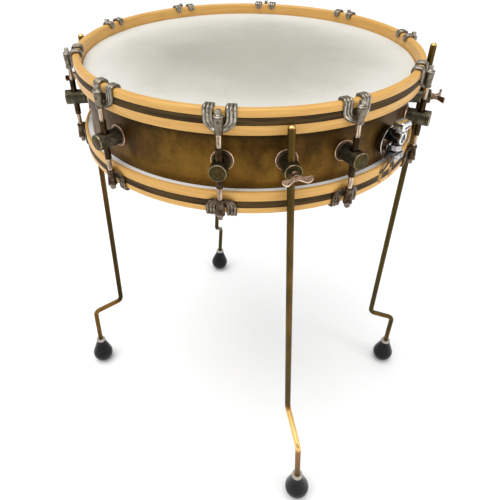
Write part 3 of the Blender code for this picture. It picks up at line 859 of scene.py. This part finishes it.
# A claw's arm as rows of (out from the rod, height, inner edge, outer edge, thickness), from its barrel up
# over the hoop to the tip of its hook.
ARM_ROWS = (
    (-0.6, -23.4, 0.2, 3.0, 2.0),
    (-2.4, -22.4, 0.2, 7.6, 2.6),
    (-4.6, -19.8, 1.2, 13.4, 2.6),
    (-5.8, -16.4, 3.8, 17.2, 2.6),
    (-6.2, -12.5, 6.0, 18.6, 2.6),
    (-6.2, -7.0, 6.3, 18.9, 2.6),
    (-6.3, -2.0, 6.3, 18.9, 2.6),
    (-7.3, 0.8, 6.3, 18.9, 2.6),
    (-9.6, 2.1, 6.3, 18.9, 2.6),
    (-13.0, 2.25, 6.4, 18.8, 2.6),
    (-16.4, 2.0, 6.6, 18.6, 2.6),
    (-18.8, 0.4, 7.0, 18.2, 2.6),
    (-19.7, -2.6, 7.6, 17.6, 2.5),
    (-19.75, -5.4, 8.6, 16.6, 2.3),
    (-19.7, -7.0, 10.6, 14.6, 1.4),
)
ARM_ACROSS = 24
RIDGES = 3
RIDGE_DEPTH = 0.8
KEY_HALF = 2.7              # half the width of a rod's square key head


def ridge_wave(share):
    """1 on a ridge's crest and -1 in a groove, at a share of the arm's width."""
    return math.cos(math.tau * RIDGES * (share - 0.5 / RIDGES))


def claw_arm(side, groove, crest):
    """One ribbed arm of a claw, curved with the hoop. side is 1 or -1."""
    rows = smoothed(ARM_ROWS, 4)
    path = [row[:2] for row in rows]
    rings = []
    for i, (out, up, near, far, thick) in enumerate(rows):
        along = heading(path, i)
        normal = Vector((along.y, 0.0, -along.x))
        depth = RIDGE_DEPTH * min(1.0, max(0.0, (up + 17.0) / 7.0)) * (1.0 if out > -17.5 else 0.3)
        corners = []
        for k in range(ARM_ACROSS + 1):
            share = k / ARM_ACROSS
            ridge = (0.5 + 0.5 * ridge_wave(share)) ** 0.7
            edge = 1.0 - 0.45 * abs(2 * share - 1) ** 10
            corners.append((near + (far - near) * share, thick / 2 * edge - depth * (1.0 - ridge)))
        for k in range(5):
            corners.append((far + (near - far) * k / 4, -thick / 2))
        points = []
        for across, lift in corners:
            radius = ROD_CIRCLE + out + normal.x * lift
            angle = side * across / ROD_CIRCLE
            x, y = radius * math.cos(angle), radius * math.sin(angle)
            points.append((x - ROD_CIRCLE, y, up + normal.z * lift))
        rings.append(points)
    crests = [k for k in range(ARM_ACROSS) if ridge_wave((k + 0.5) / ARM_ACROSS) > 0.1]
    return lofted(rings, groove, crest, crests)


def claw(groove, crest):
    """A casting over the hoop's edge, with its tension rod and key head through its barrel."""
    barrel = [(0.0, -5.2), (4.6, -5.2), (5.4, -6.0), (5.35, -9.0), (4.7, -15.0), (4.4, -20.0)]
    barrel += [(4.9, -21.6), (4.9, -23.6), (4.4, -24.5), (ROD_RADIUS, -24.5), (0.0, -24.5)]
    washer = [(0.0, -5.3), (5.2, -5.3), (5.7, -4.9), (5.7, -3.7), (5.2, -3.3), (0.0, -3.3)]
    collar = [(0.0, -3.4), (3.9, -3.4), (4.0, -2.6), (3.4, -2.0), (0.0, -2.0)]
    end = SLEEVE_HALF - HALF - 4.0
    rod = [(0.0, -24.0), (ROD_RADIUS, -24.0)] + threaded(ROD_RADIUS, -26.0, end) + [(0.0, end)]
    whole = gathered(
        claw_arm(1, groove, crest),
        claw_arm(-1, groove, crest),
        turned([(groove, barrel)], 32),
        turned([(crest, washer)], 32),
        turned([(crest, collar)], 24),
        block((-KEY_HALF, -KEY_HALF, -2.4), (KEY_HALF, KEY_HALF, 2.6), 0.55, crest),
        turned([("rod_copper", rod)], 24),
    )
    return shifted(whole, z=HALF)


def claws():
    upper = claw("pewter", "pewter_bright")
    lower = upside_down(claw("pewter_brown", "pewter_dull"))
    shapes = {"top": scaled(upper), "bottom": scaled(lower)}
    for side, shape in shapes.items():
        for i in range(LUG_COUNT):
            degrees = FIRST_LUG + LUG_STEP * i
            name = f"{side}_claw_{i + 1}"
            at_station(f"cast_{name}", shape, "drum", "pewter", name, degrees, ROD_CIRCLE)


# ---------------------------------------------------------------- legs


def leg_line(height):
    """Place of the leg's straight line at a height above the floor, from its bracket's middle."""
    up = height - MIDDLE
    return Vector((0.0, -up * math.tan(LEG_LEAN), up))


def eased(value, low, high):
    """0 at low and 1 at high, with a soft step between."""
    share = min(1.0, max(0.0, (value - low) / (high - low)))
    return share * share * (3.0 - 2.0 * share)


def leg_rod(top, bend_high, bend_low, offset, wear):
    """A bent leg with a domed top, and in its attributes how far each part is rubbed and which side takes
    painted shade.
    """
    corners = [leg_line(top - 3.2), leg_line(bend_high)]
    corners += [leg_line(bend_low) + offset, leg_line(LEG_END) + offset]
    dome = [(0.0, 1.0), (0.25, 2.4), (1.0, 3.6), (2.1, 4.2)]
    path = [leg_line(top - down) for down, _ in dome] + filleted(corners, LEG_FILLET)
    radii = [radius for _, radius in dome] + [LEG_RADIUS] * (len(path) - len(dome))
    mesh = scaled(lofted(round_tube(path, radii, 24), "leg_brass"))
    rubbed = mesh.attributes.new("rubbed", "FLOAT", "POINT")
    painted_side_shade = mesh.attributes.new("painted_side_shade", "FLOAT", "POINT")
    straight, slant, below = wear
    for i, vertex in enumerate(mesh.vertices):
        height = vertex.co.z / MM + MIDDLE
        share = straight + (slant - straight) * eased(height, bend_high + 12.0, bend_high - 8.0)
        share += (below - slant) * eased(height, bend_low + 4.0, bend_low - 14.0)
        rubbed.data[i].value = share + (1.0 - share) * eased(height, top - 4.0, top - 1.0)
        # Painted shade on the side whose normals point along the station's y.
        painted_side_shade.data[i].value = eased(vertex.normal.y, 0.25, 0.95)
    return mesh


def foot(turn):
    """Rubber ball foot with a cone up to the rod, leaning with it and flat where it rests."""
    ball = arc((0.0, FOOT_CENTRE), FOOT_RADIUS, -70, 24, 22)
    low = FOOT_CENTRE + FOOT_RADIUS * math.sin(math.radians(-70))
    waist = [(FOOT_NECK + 6.2, FOOT_HEIGHT - 21.0), (FOOT_NECK + 3.2, FOOT_HEIGHT - 14.0)]
    waist += [(FOOT_NECK + 1.3, FOOT_HEIGHT - 8.2), (FOOT_NECK + 0.8, FOOT_HEIGHT - 4.6)]
    waist += [(FOOT_NECK + 0.3, FOOT_HEIGHT - 4.2)]
    collar = [waist[-1], (FOOT_NECK + 0.5, FOOT_HEIGHT - 3.6), (FOOT_NECK + 0.4, FOOT_HEIGHT - 0.8)]
    collar += [(FOOT_NECK - 0.3, FOOT_HEIGHT - 0.1), (LEG_BORE - 0.2, FOOT_HEIGHT)]
    collar += [(LEG_BORE - 0.2, LEG_END - 1.0), (0.0, LEG_END - 1.0)]
    mesh = turned([("rubber", [(0.0, low)] + ball + waist), ("ivory", collar)], 48)
    mesh = moved(mesh, Matrix.Rotation(turn, 4, "Z") @ Matrix.Rotation(LEG_LEAN, 4, "X"))
    bm = bmesh.new()
    bm.from_mesh(mesh)
    everything = bm.verts[:] + bm.edges[:] + bm.faces[:]
    down = (0, 0, -1)
    cut = bmesh.ops.bisect_plane(bm, geom=everything, plane_co=(0, 0, 0), plane_no=down, clear_outer=True)
    rim = [item for item in cut["geom_cut"] if isinstance(item, bmesh.types.BMEdge)]
    bmesh.ops.holes_fill(bm, edges=rim)
    return finished_like(closed(bm), mesh)


# Half of a wing as rows of (out from the screw's origin, across, lift, half height, half thickness).
WING_ROWS = (
    (15.1, -16.8, 1.6, 1.4, 0.7),
    (15.9, -15.6, 1.2, 3.0, 1.1),
    (16.5, -13.2, 0.5, 4.1, 1.25),
    (16.1, -10.6, 0.0, 4.3, 1.3),
    (14.2, -8.0, 0.0, 4.0, 1.4),
    (11.8, -5.4, 0.0, 3.6, 1.5),
    (10.0, -2.7, 0.2, 3.2, 1.6),
    (9.5, 0.0, 0.4, 3.2, 1.6),
)
WING_SIDES = 16
# Sides of each wing's section that take painted highlights.
WING_HIGHLIGHT_SIDES = (3, 11, 12, 13, 14)


def wing_screw():
    """Clamping screw with two wings that sweep outward and curl level at their tips."""
    tip = LEG_CIRCLE + LEG_RADIUS + 0.3 - WING_ORIGIN
    outline = [(0.0, tip), (2.6, tip), (2.9, tip + 0.4)] + threaded(2.9, tip + 0.6, 0.1)
    hub = [(2.9, 0.3), (4.2, 0.4), (4.7, 0.9), (4.7, 3.2), (4.0, 4.2), (3.9, 7.2), (4.4, 8.2)]
    hub += [(4.4, 9.6), (3.5, 10.6), (2.0, 11.2), (0.0, 11.3)]
    sections = [("steel", outline), ("wing_copper", [outline[-1]] + hub)]
    rows = list(WING_ROWS)
    rows += [(out, -across, *rest) for out, across, *rest in reversed(rows[:-1])]
    rows = smoothed(rows, 4)
    path = [row[:2] for row in rows]
    rings = []
    for i, (out, across, lift, rise, thick) in enumerate(rows):
        along = heading(path, i)
        normal = Vector((along.y, -along.x, 0.0))
        corners = []
        for k in range(WING_SIDES):
            turn = math.tau * k / WING_SIDES
            flat, tall = math.cos(turn), math.sin(turn)
            cupped = 0.9 * (1.0 - abs(tall)) if flat > 0.0 else 0.0
            corners.append(
                Vector((out, across, lift))
                + normal * (thick * math.copysign(abs(flat) ** 0.6, flat) - cupped)
                + Vector((0.0, 0.0, rise * math.copysign(abs(tall) ** 0.6, tall)))
            )
        rings.append(corners)
    # Those sides take the brighter finish, painted highlights along the wings' rims.
    wings = lofted(rings, "wing_copper", "wing_highlight", WING_HIGHLIGHT_SIDES)
    screw = outward(turned(sections, 32))
    return moved(gathered(screw, wings), Matrix.Rotation(WING_TURN, 4, "X"))


def legs():
    """Four brackets on the shell, and in each a bent leg with its foot and its wing screw."""
    hole = [(0.0, -20.0), (LEG_BORE, -20.0), (LEG_BORE, 20.0), (0.0, 20.0)]
    drill = moved(turned([("post_brass", hole)], 48), Matrix.Rotation(LEG_LEAN, 4, "X"))
    bracket = scaled(carved(post(3.3), [shifted(drill, x=LEG_CIRCLE)], "post_brass"))
    wing = scaled(wing_screw())
    for name, degrees, top, bend_high, bend_low, bend, reach in LEGS:
        angle = math.radians(degrees)
        offset = Vector((math.cos(math.radians(bend)), math.sin(math.radians(bend)), 0.0)) * reach
        body = f"{name}_leg"
        at_station(f"{name}_leg_post", bracket, "drum", "dark_brass", f"{name}_leg_bracket", degrees)
        mesh = leg_rod(top, bend_high, bend_low, offset, LEG_WEAR[name])
        at_station(f"{name}_leg_rod", mesh, body, "leg_brass", f"{name}_leg", degrees, LEG_CIRCLE)
        stand = Vector((LEG_CIRCLE, 0.0, 0.0)) + leg_line(0.0) + offset
        ground = Matrix.Rotation(angle, 4, "Z") @ stand
        origin = (ground.x, ground.y, 0.0)
        piece(f"{name}_ball_foot", scaled(foot(angle)), body, "rubber", f"{name}_foot", origin=origin)
        screw = f"{name}_wing_screw"
        at_station(f"{name}_wings", wing, screw, "dark_brass", screw, degrees, WING_ORIGIN)


# ---------------------------------------------------------------- snare gear


def round_bar(radius, start, end, finish, steps=32, edge=0.4):
    outline = [(0.0, start), (radius - edge, start), (radius, start + edge), (radius, end - edge)]
    return turned([(finish, outline + [(radius - edge, end), (0.0, end)])], steps)


def slotted_screw(radius, depth):
    """A small domed screw head with its slot, standing along x from 0."""
    dome = [(0.0, 0.0), (radius, 0.0), (radius, depth * 0.4), (radius * 0.8, depth * 0.8), (0.0, depth)]
    head = outward(turned([("chrome", dome)], 24))
    slot = block((depth * 0.45, -radius * 1.2, -0.35), (depth * 2.0, radius * 1.2, 0.35), 0.05, "chrome", 1)
    return carved(head, [slot], "chrome")


def knurled(radius, start, end, grooves=28):
    """A knob with fine flutes round it."""
    rings = []
    for height, shrink in ((start, 0.8), (start + 0.5, 0.1), (end - 0.5, 0.1), (end, 0.8)):
        ring = []
        for k in range(grooves * 4):
            turn = math.tau * k / (grooves * 4)
            reach = radius - shrink - 0.35 * (0.5 - 0.5 * math.cos(turn * grooves))
            ring.append(Vector((reach * math.cos(turn), reach * math.sin(turn), height)))
        rings.append(ring)
    return lofted(rings, "chrome")


def strainer_base():
    """The dish on the shell, with the axle for the lever and the guide for the slide."""
    seat, edge, front = PLATE_SEAT, DISH_RADIUS, PLATE_SEAT + DISH_DEPTH
    back = [(0.0, seat), (edge - 1.8, seat), (edge - 1.8, seat + 1.0), (edge - 1.4, seat + 2.0)]
    back += [(edge - 1.0, front - 1.6)]
    rim = [(edge - 1.0, front - 1.6), (edge - 0.2, front - 1.2), (edge, front - 0.5), (edge - 0.4, front)]
    rim += [(edge - 1.2, front), (edge - 1.6, front - 0.5)]
    bowl = [(edge - 1.6, front - 0.5), (edge - 2.0, seat + 3.2), (edge - 2.8, seat + 2.0), (0.0, seat + 2.0)]
    # The bowl of the dish takes the brown chrome, a painted reflection of the shell.
    dish = turned([("gunmetal", back), ("chrome_edge", rim), ("painted_shell_reflection", bowl)], 72)
    plate = shifted(outward(dish), z=DISH_UP)
    guide = block((seat + 1.0, -5.0, -22.0), (238.0, 5.0, -10.0), 0.6, "chrome")
    axle = shifted(outward(round_bar(AXLE_RADIUS, seat + 1.0, HUB_OUT - 4.5, "gunmetal")), z=PIVOT_UP)
    base = gathered(plate, guide, axle)
    at_station("throw_off_base", scaled(base), "drum", "chrome", "strainer_base", STRAINER_PLACE)


def strainer_lever():
    """A cup that turns on the axle, with the grip it is thrown by. Heights count from the axle."""
    bore, wall, end = AXLE_RADIUS + 0.5, HUB_RADIUS - 0.2, HUB_OUT
    barrel = [(bore, end - 3.8), (bore, HUB_IN), (wall - 0.6, HUB_IN), (wall, HUB_IN + 0.6)]
    barrel += [(wall, end - 3.4)]
    ring = [(wall, end - 3.4), (HUB_RADIUS, end - 3.1), (HUB_RADIUS, end - 0.6), (HUB_RADIUS - 0.6, end)]
    ring += [(HUB_RADIUS - 2.4, end), (HUB_RADIUS - 2.8, end - 0.5)]
    cap = [(HUB_RADIUS - 2.8, end - 0.5), (HUB_RADIUS - 3.0, end - 1.4), (0.0, end - 1.4)]
    hub = outward(turned([("gunmetal", barrel), ("chrome_edge", ring), ("gunmetal", cap)], 48))
    arm = block((244.0, -5.0, 6.5), (251.0, 5.0, 13.0), 0.9, "chrome")
    grip = block((241.5, -8.5, 11.0), (256.0, 8.5, 21.5), 1.8, "chrome_edge", 5)
    waist = block((239.0, -6.0, 14.0), (258.0, 6.0, 16.0), 0.4, "gunmetal")
    lever = gathered(hub, arm, carved(grip, [waist], "gunmetal"))
    name = "strainer_lever"
    height = MIDDLE + PIVOT_UP
    at_station("throw_off_lever", scaled(lever), name, "chrome", name, STRAINER_PLACE, 0.0, height)


def strainer_slide():
    """The slide that clamps the strap's end, with the knob that sets the snares' tension."""
    knob = gathered(knurled(6.9, -14.6, -7.4), round_bar(2.0, -18.5, -14.0, "chrome"))
    name = "strainer_knob"
    at_station("tension_knob", scaled(knob), name, "chrome", name, STRAINER_PLACE, KNOB_OUT)
    carriage = block((238.4, -10.0, -27.0), (251.0, 10.0, -15.6), 0.9, "gunmetal")
    bore = shifted(round_bar(2.6, -30.0, -10.0, "gunmetal"), x=KNOB_OUT)
    jaw = block((250.5, -9.5, -26.0), (253.2, 9.5, -18.0), 0.7, "chrome")
    heads_out = [shifted(slotted_screw(2.7, 2.2), x=253.1, y=y, z=-22.0) for y in (-5.5, 5.5)]
    clamp = gathered(carved(carriage, [bore], "gunmetal"), jaw, *heads_out)
    at_station("strap_clamp", scaled(clamp), "strainer_slide", "chrome", "strainer_clamp", STRAINER_PLACE)


def butt():
    """The plate and jaw that hold the strap's other end."""
    seat = PLATE_SEAT
    plate = block((seat, -18.0, -31.0), (seat + 2.0, 18.0, 3.0), 0.8, "chrome")
    anvil = block((seat + 1.0, -12.0, -27.0), (243.0, 12.0, -14.0), 1.0, "chrome")
    screws = [shifted(slotted_screw(3.2, 1.6), x=seat + 1.9, y=y, z=-3.0) for y in (-12.5, 12.5)]
    base = gathered(plate, anvil, *screws)
    at_station("butt_base", scaled(base), "drum", "chrome", "butt_plate", BUTT_PLACE)
    jaw = block((244.6, -12.0, -26.0), (247.2, 12.0, -15.0), 0.7, "chrome")
    heads_out = [shifted(slotted_screw(2.9, 2.6), x=247.1, y=y, z=-20.5) for y in (-7.5, 7.5)]
    at_station("butt_strap_jaw", scaled(gathered(jaw, *heads_out)), "drum", "chrome", "butt_jaw", BUTT_PLACE)


def coil(across, top):
    """One snare wire: a long thin coil between the end plates."""
    reach, wire, pitch, per_turn = 0.72, 0.26, 3.0, 7
    count = int(2 * WIRE_HALF / pitch) * per_turn
    path = []
    for i in range(count + 1):
        turn = math.tau * i / per_turn
        x = -WIRE_HALF + 2 * WIRE_HALF * i / count
        path.append(Vector((x, across + reach * math.cos(turn), top - 1.0 + reach * math.sin(turn))))
    return lofted(round_tube(path, [wire] * len(path), 5), "steel")


def snare_wires():
    """The coiled wires across the lower head, soldered to a plate at each end."""
    top = -(HALF - HEAD_SINK) - 0.4
    wide = (STRANDS - 1) / 2 * STRAND_PITCH + 3.7
    plates = []
    for side in (-1, 1):
        low = min(side * (WIRE_HALF - 1.0), side * (WIRE_HALF + WIRE_PLATE))
        plates.append(block((low, -wide, top - 1.2), (low + WIRE_PLATE + 1.0, wide, top), 0.3, "steel"))
    coils = [coil((i - (STRANDS - 1) / 2) * STRAND_PITCH, top) for i in range(STRANDS)]
    wires = scaled(gathered(*plates, *coils))
    at_station("coiled_snares", wires, "drum", "steel_wire", "snare_wires", STRAINER_PLACE)


# Corners of a strap's section: across the strap and through it.
STRAP_SECTION = (
    (-2.3, -0.5), (-2.5, -0.2), (-2.5, 0.2), (-2.3, 0.5),
    (2.3, 0.5), (2.5, 0.2), (2.5, -0.2), (2.3, -0.5),
)


def straps(start_out, start_up, start_spread, clear_up):
    """Both runs of a snare strap, from the clamp through the gate's slots to the wires' end plate."""
    under = -(HALF - HEAD_SINK) - 1.4
    end = WIRE_HALF + WIRE_PLATE + 0.6
    runs = []
    for side in (-1, 1):
        points = [
            (start_out, side * start_spread, start_up),
            (start_out, side * start_spread, clear_up),
            (HOOP_RADIUS + 1.2, side * GATE_SPREAD, -44.0),
            (HOOP_RADIUS - 4.0, side * GATE_SPREAD, -48.6),
            (HOOP_RADIUS - 14.0, side * GATE_SPREAD, under),
            (end, side * GATE_SPREAD, under),
        ]
        path = [Vector(point) for point in points]
        rings = []
        across = Vector((0.0, 1.0, 0.0))
        for i, point in enumerate(path):
            normal = heading(path, i).cross(across).normalized()
            rings.append([point + across * a + normal * b for a, b in STRAP_SECTION])
        runs.append(lofted(rings, "strap"))
    reach = GATE_SPREAD + 2.5
    cross = block((end - 0.2, -reach, under - 0.5), (end + 4.8, reach, under + 0.5), 0.2, "strap", 2)
    return gathered(*runs, cross)


def snare_straps():
    near = scaled(straps(245.0, -27.4, 6.5, -29.5))
    at_station("strap_at_strainer", near, "strainer_slide", "black_strap", "strainer_strap", STRAINER_PLACE)
    far = scaled(straps(243.8, -14.6, 8.0, -29.0))
    at_station("strap_at_butt", far, "drum", "black_strap", "butt_strap", BUTT_PLACE)


# ---------------------------------------------------------------- studio

CAMERA_PLACE = -83.0535     # degrees round the drum's axis
CAMERA_OUT = 721.5
CAMERA_HEIGHT = 869.6
CAMERA_DOWN = 0.6218        # radians
CAMERA_YAW = -0.0161
CAMERA_ROLL = 0.005
CAMERA_LENS = 36.14
CAMERA_SHIFT = (0.0206, -0.0544)
KEY_STRENGTH = 2.1
KEY_WIDTH = math.radians(60.0)
KEY_FROM = (-0.16, -0.16, 0.97)
# Name, place and size in metres, and power in watts.
SOFT_LIGHTS = (
    ("front_left", (-1.9, -1.9, 1.7), (0.9, 1.6), 8.0),
    ("right_side", (2.3, -0.9, 1.3), (0.7, 1.6), 12.0),
)
LIGHT_TARGET = (0.0, 0.0, 0.55)
FLOOR_HALF = 14.0
# Height of the view direction from and to, and the sky's strength there.
SKY_FALL = (0.02, 0.30, 0.95, 0.28)
SKY_RISE = (0.25, 0.80, 0.0, 0.42)


def camera():
    """Looks down at the drum from the front."""
    flat = math.cos(CAMERA_DOWN)
    aim = Vector((math.sin(CAMERA_YAW) * flat, math.cos(CAMERA_YAW) * flat, -math.sin(CAMERA_DOWN)))
    right = aim.cross(Vector((0.0, 0.0, 1.0))).normalized()
    up = right.cross(aim)
    level, tilt = math.cos(CAMERA_ROLL), math.sin(CAMERA_ROLL)
    across = right * level + up * tilt
    high = up * level - right * tilt
    turn = Matrix.Rotation(math.radians(CAMERA_PLACE + 90.0), 4, "Z")
    axes = Matrix((across, high, -aim)).transposed().to_4x4()
    place = Vector((0.0, -CAMERA_OUT, CAMERA_HEIGHT)) * MM
    data = bpy.data.cameras.new("camera")
    data.lens = CAMERA_LENS
    data.shift_x, data.shift_y = CAMERA_SHIFT
    data.clip_start = 0.02
    made = bpy.data.objects.new("camera", data)
    made.matrix_world = turn @ Matrix.Translation(place) @ axes
    bpy.context.scene.collection.objects.link(made)
    bpy.context.scene.camera = made


def soft_light(name, place, size, power):
    data = bpy.data.lights.new(name, "AREA")
    data.shape = "RECTANGLE"
    data.size, data.size_y = size
    data.energy = power
    made = bpy.data.objects.new(name, data)
    made.location = place
    aim = Vector(LIGHT_TARGET) - Vector(place)
    made.rotation_euler = aim.to_track_quat("-Z", "Y").to_euler()
    bpy.context.scene.collection.objects.link(made)


def sky():
    """Soft surroundings: as pale as the floor at the horizon, dimmer above it and brighter overhead."""
    world = bpy.data.worlds.new("studio")
    world.use_nodes = True
    tree = world.node_tree
    place = tree.nodes.new("ShaderNodeTexCoord")
    parts = tree.nodes.new("ShaderNodeSeparateXYZ")
    total = tree.nodes.new("ShaderNodeMath")
    tree.links.new(place.outputs["Generated"], parts.inputs[0])
    for i, numbers in enumerate((SKY_FALL, SKY_RISE)):
        step = tree.nodes.new("ShaderNodeMapRange")
        step.interpolation_type = "SMOOTHSTEP"
        for socket, number in zip(step.inputs[1:5], numbers):
            socket.default_value = number
        tree.links.new(parts.outputs["Z"], step.inputs[0])
        tree.links.new(step.outputs[0], total.inputs[i])
    tree.links.new(total.outputs[0], tree.nodes["Background"].inputs["Strength"])
    tree.nodes["Background"].inputs["Color"].default_value = rgb(1.0, 1.0, 1.0)
    return world


def studio():
    """A plain pale floor under a soft sky, a wide sun and two side lights."""
    bm = bmesh.new()
    bmesh.ops.create_grid(bm, x_segments=2, y_segments=2, size=FLOOR_HALF)
    mesh = bpy.data.meshes.new("floor")
    bm.to_mesh(mesh)
    bm.free()
    ground = Finish("pale_floor", Roughness=0.9)
    cloud = ground.noise(ground.here(), 0.8, 3.0, 0.5)
    ground.colour(ground.mix(cloud, rgb(0.90, 0.90, 0.90), rgb(0.92, 0.92, 0.92)))
    mesh.materials.append(ground.material)
    floor = bpy.data.objects.new("floor", mesh)
    bpy.context.scene.collection.objects.link(floor)
    floor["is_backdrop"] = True

    bpy.context.scene.world = sky()
    sun = bpy.data.lights.new("key", "SUN")
    sun.energy = KEY_STRENGTH
    sun.angle = KEY_WIDTH
    key = bpy.data.objects.new("key", sun)
    key.rotation_euler = Vector(KEY_FROM).to_track_quat("Z", "Y").to_euler()
    bpy.context.scene.collection.objects.link(key)
    for light in SOFT_LIGHTS:
        soft_light(*light)
    bpy.context.scene.view_settings.view_transform = "Standard"


def main():
    camera()
    studio()
    shell()
    hoops()
    heads()
    lugs()
    claws()
    legs()
    strainer_base()
    strainer_lever()
    strainer_slide()
    butt()
    snare_wires()
    snare_straps()
    corners = {"cad": cad_box, "visual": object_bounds()}
    {name: [list(corner) for corner in box] for name, box in corners.items()}


main()
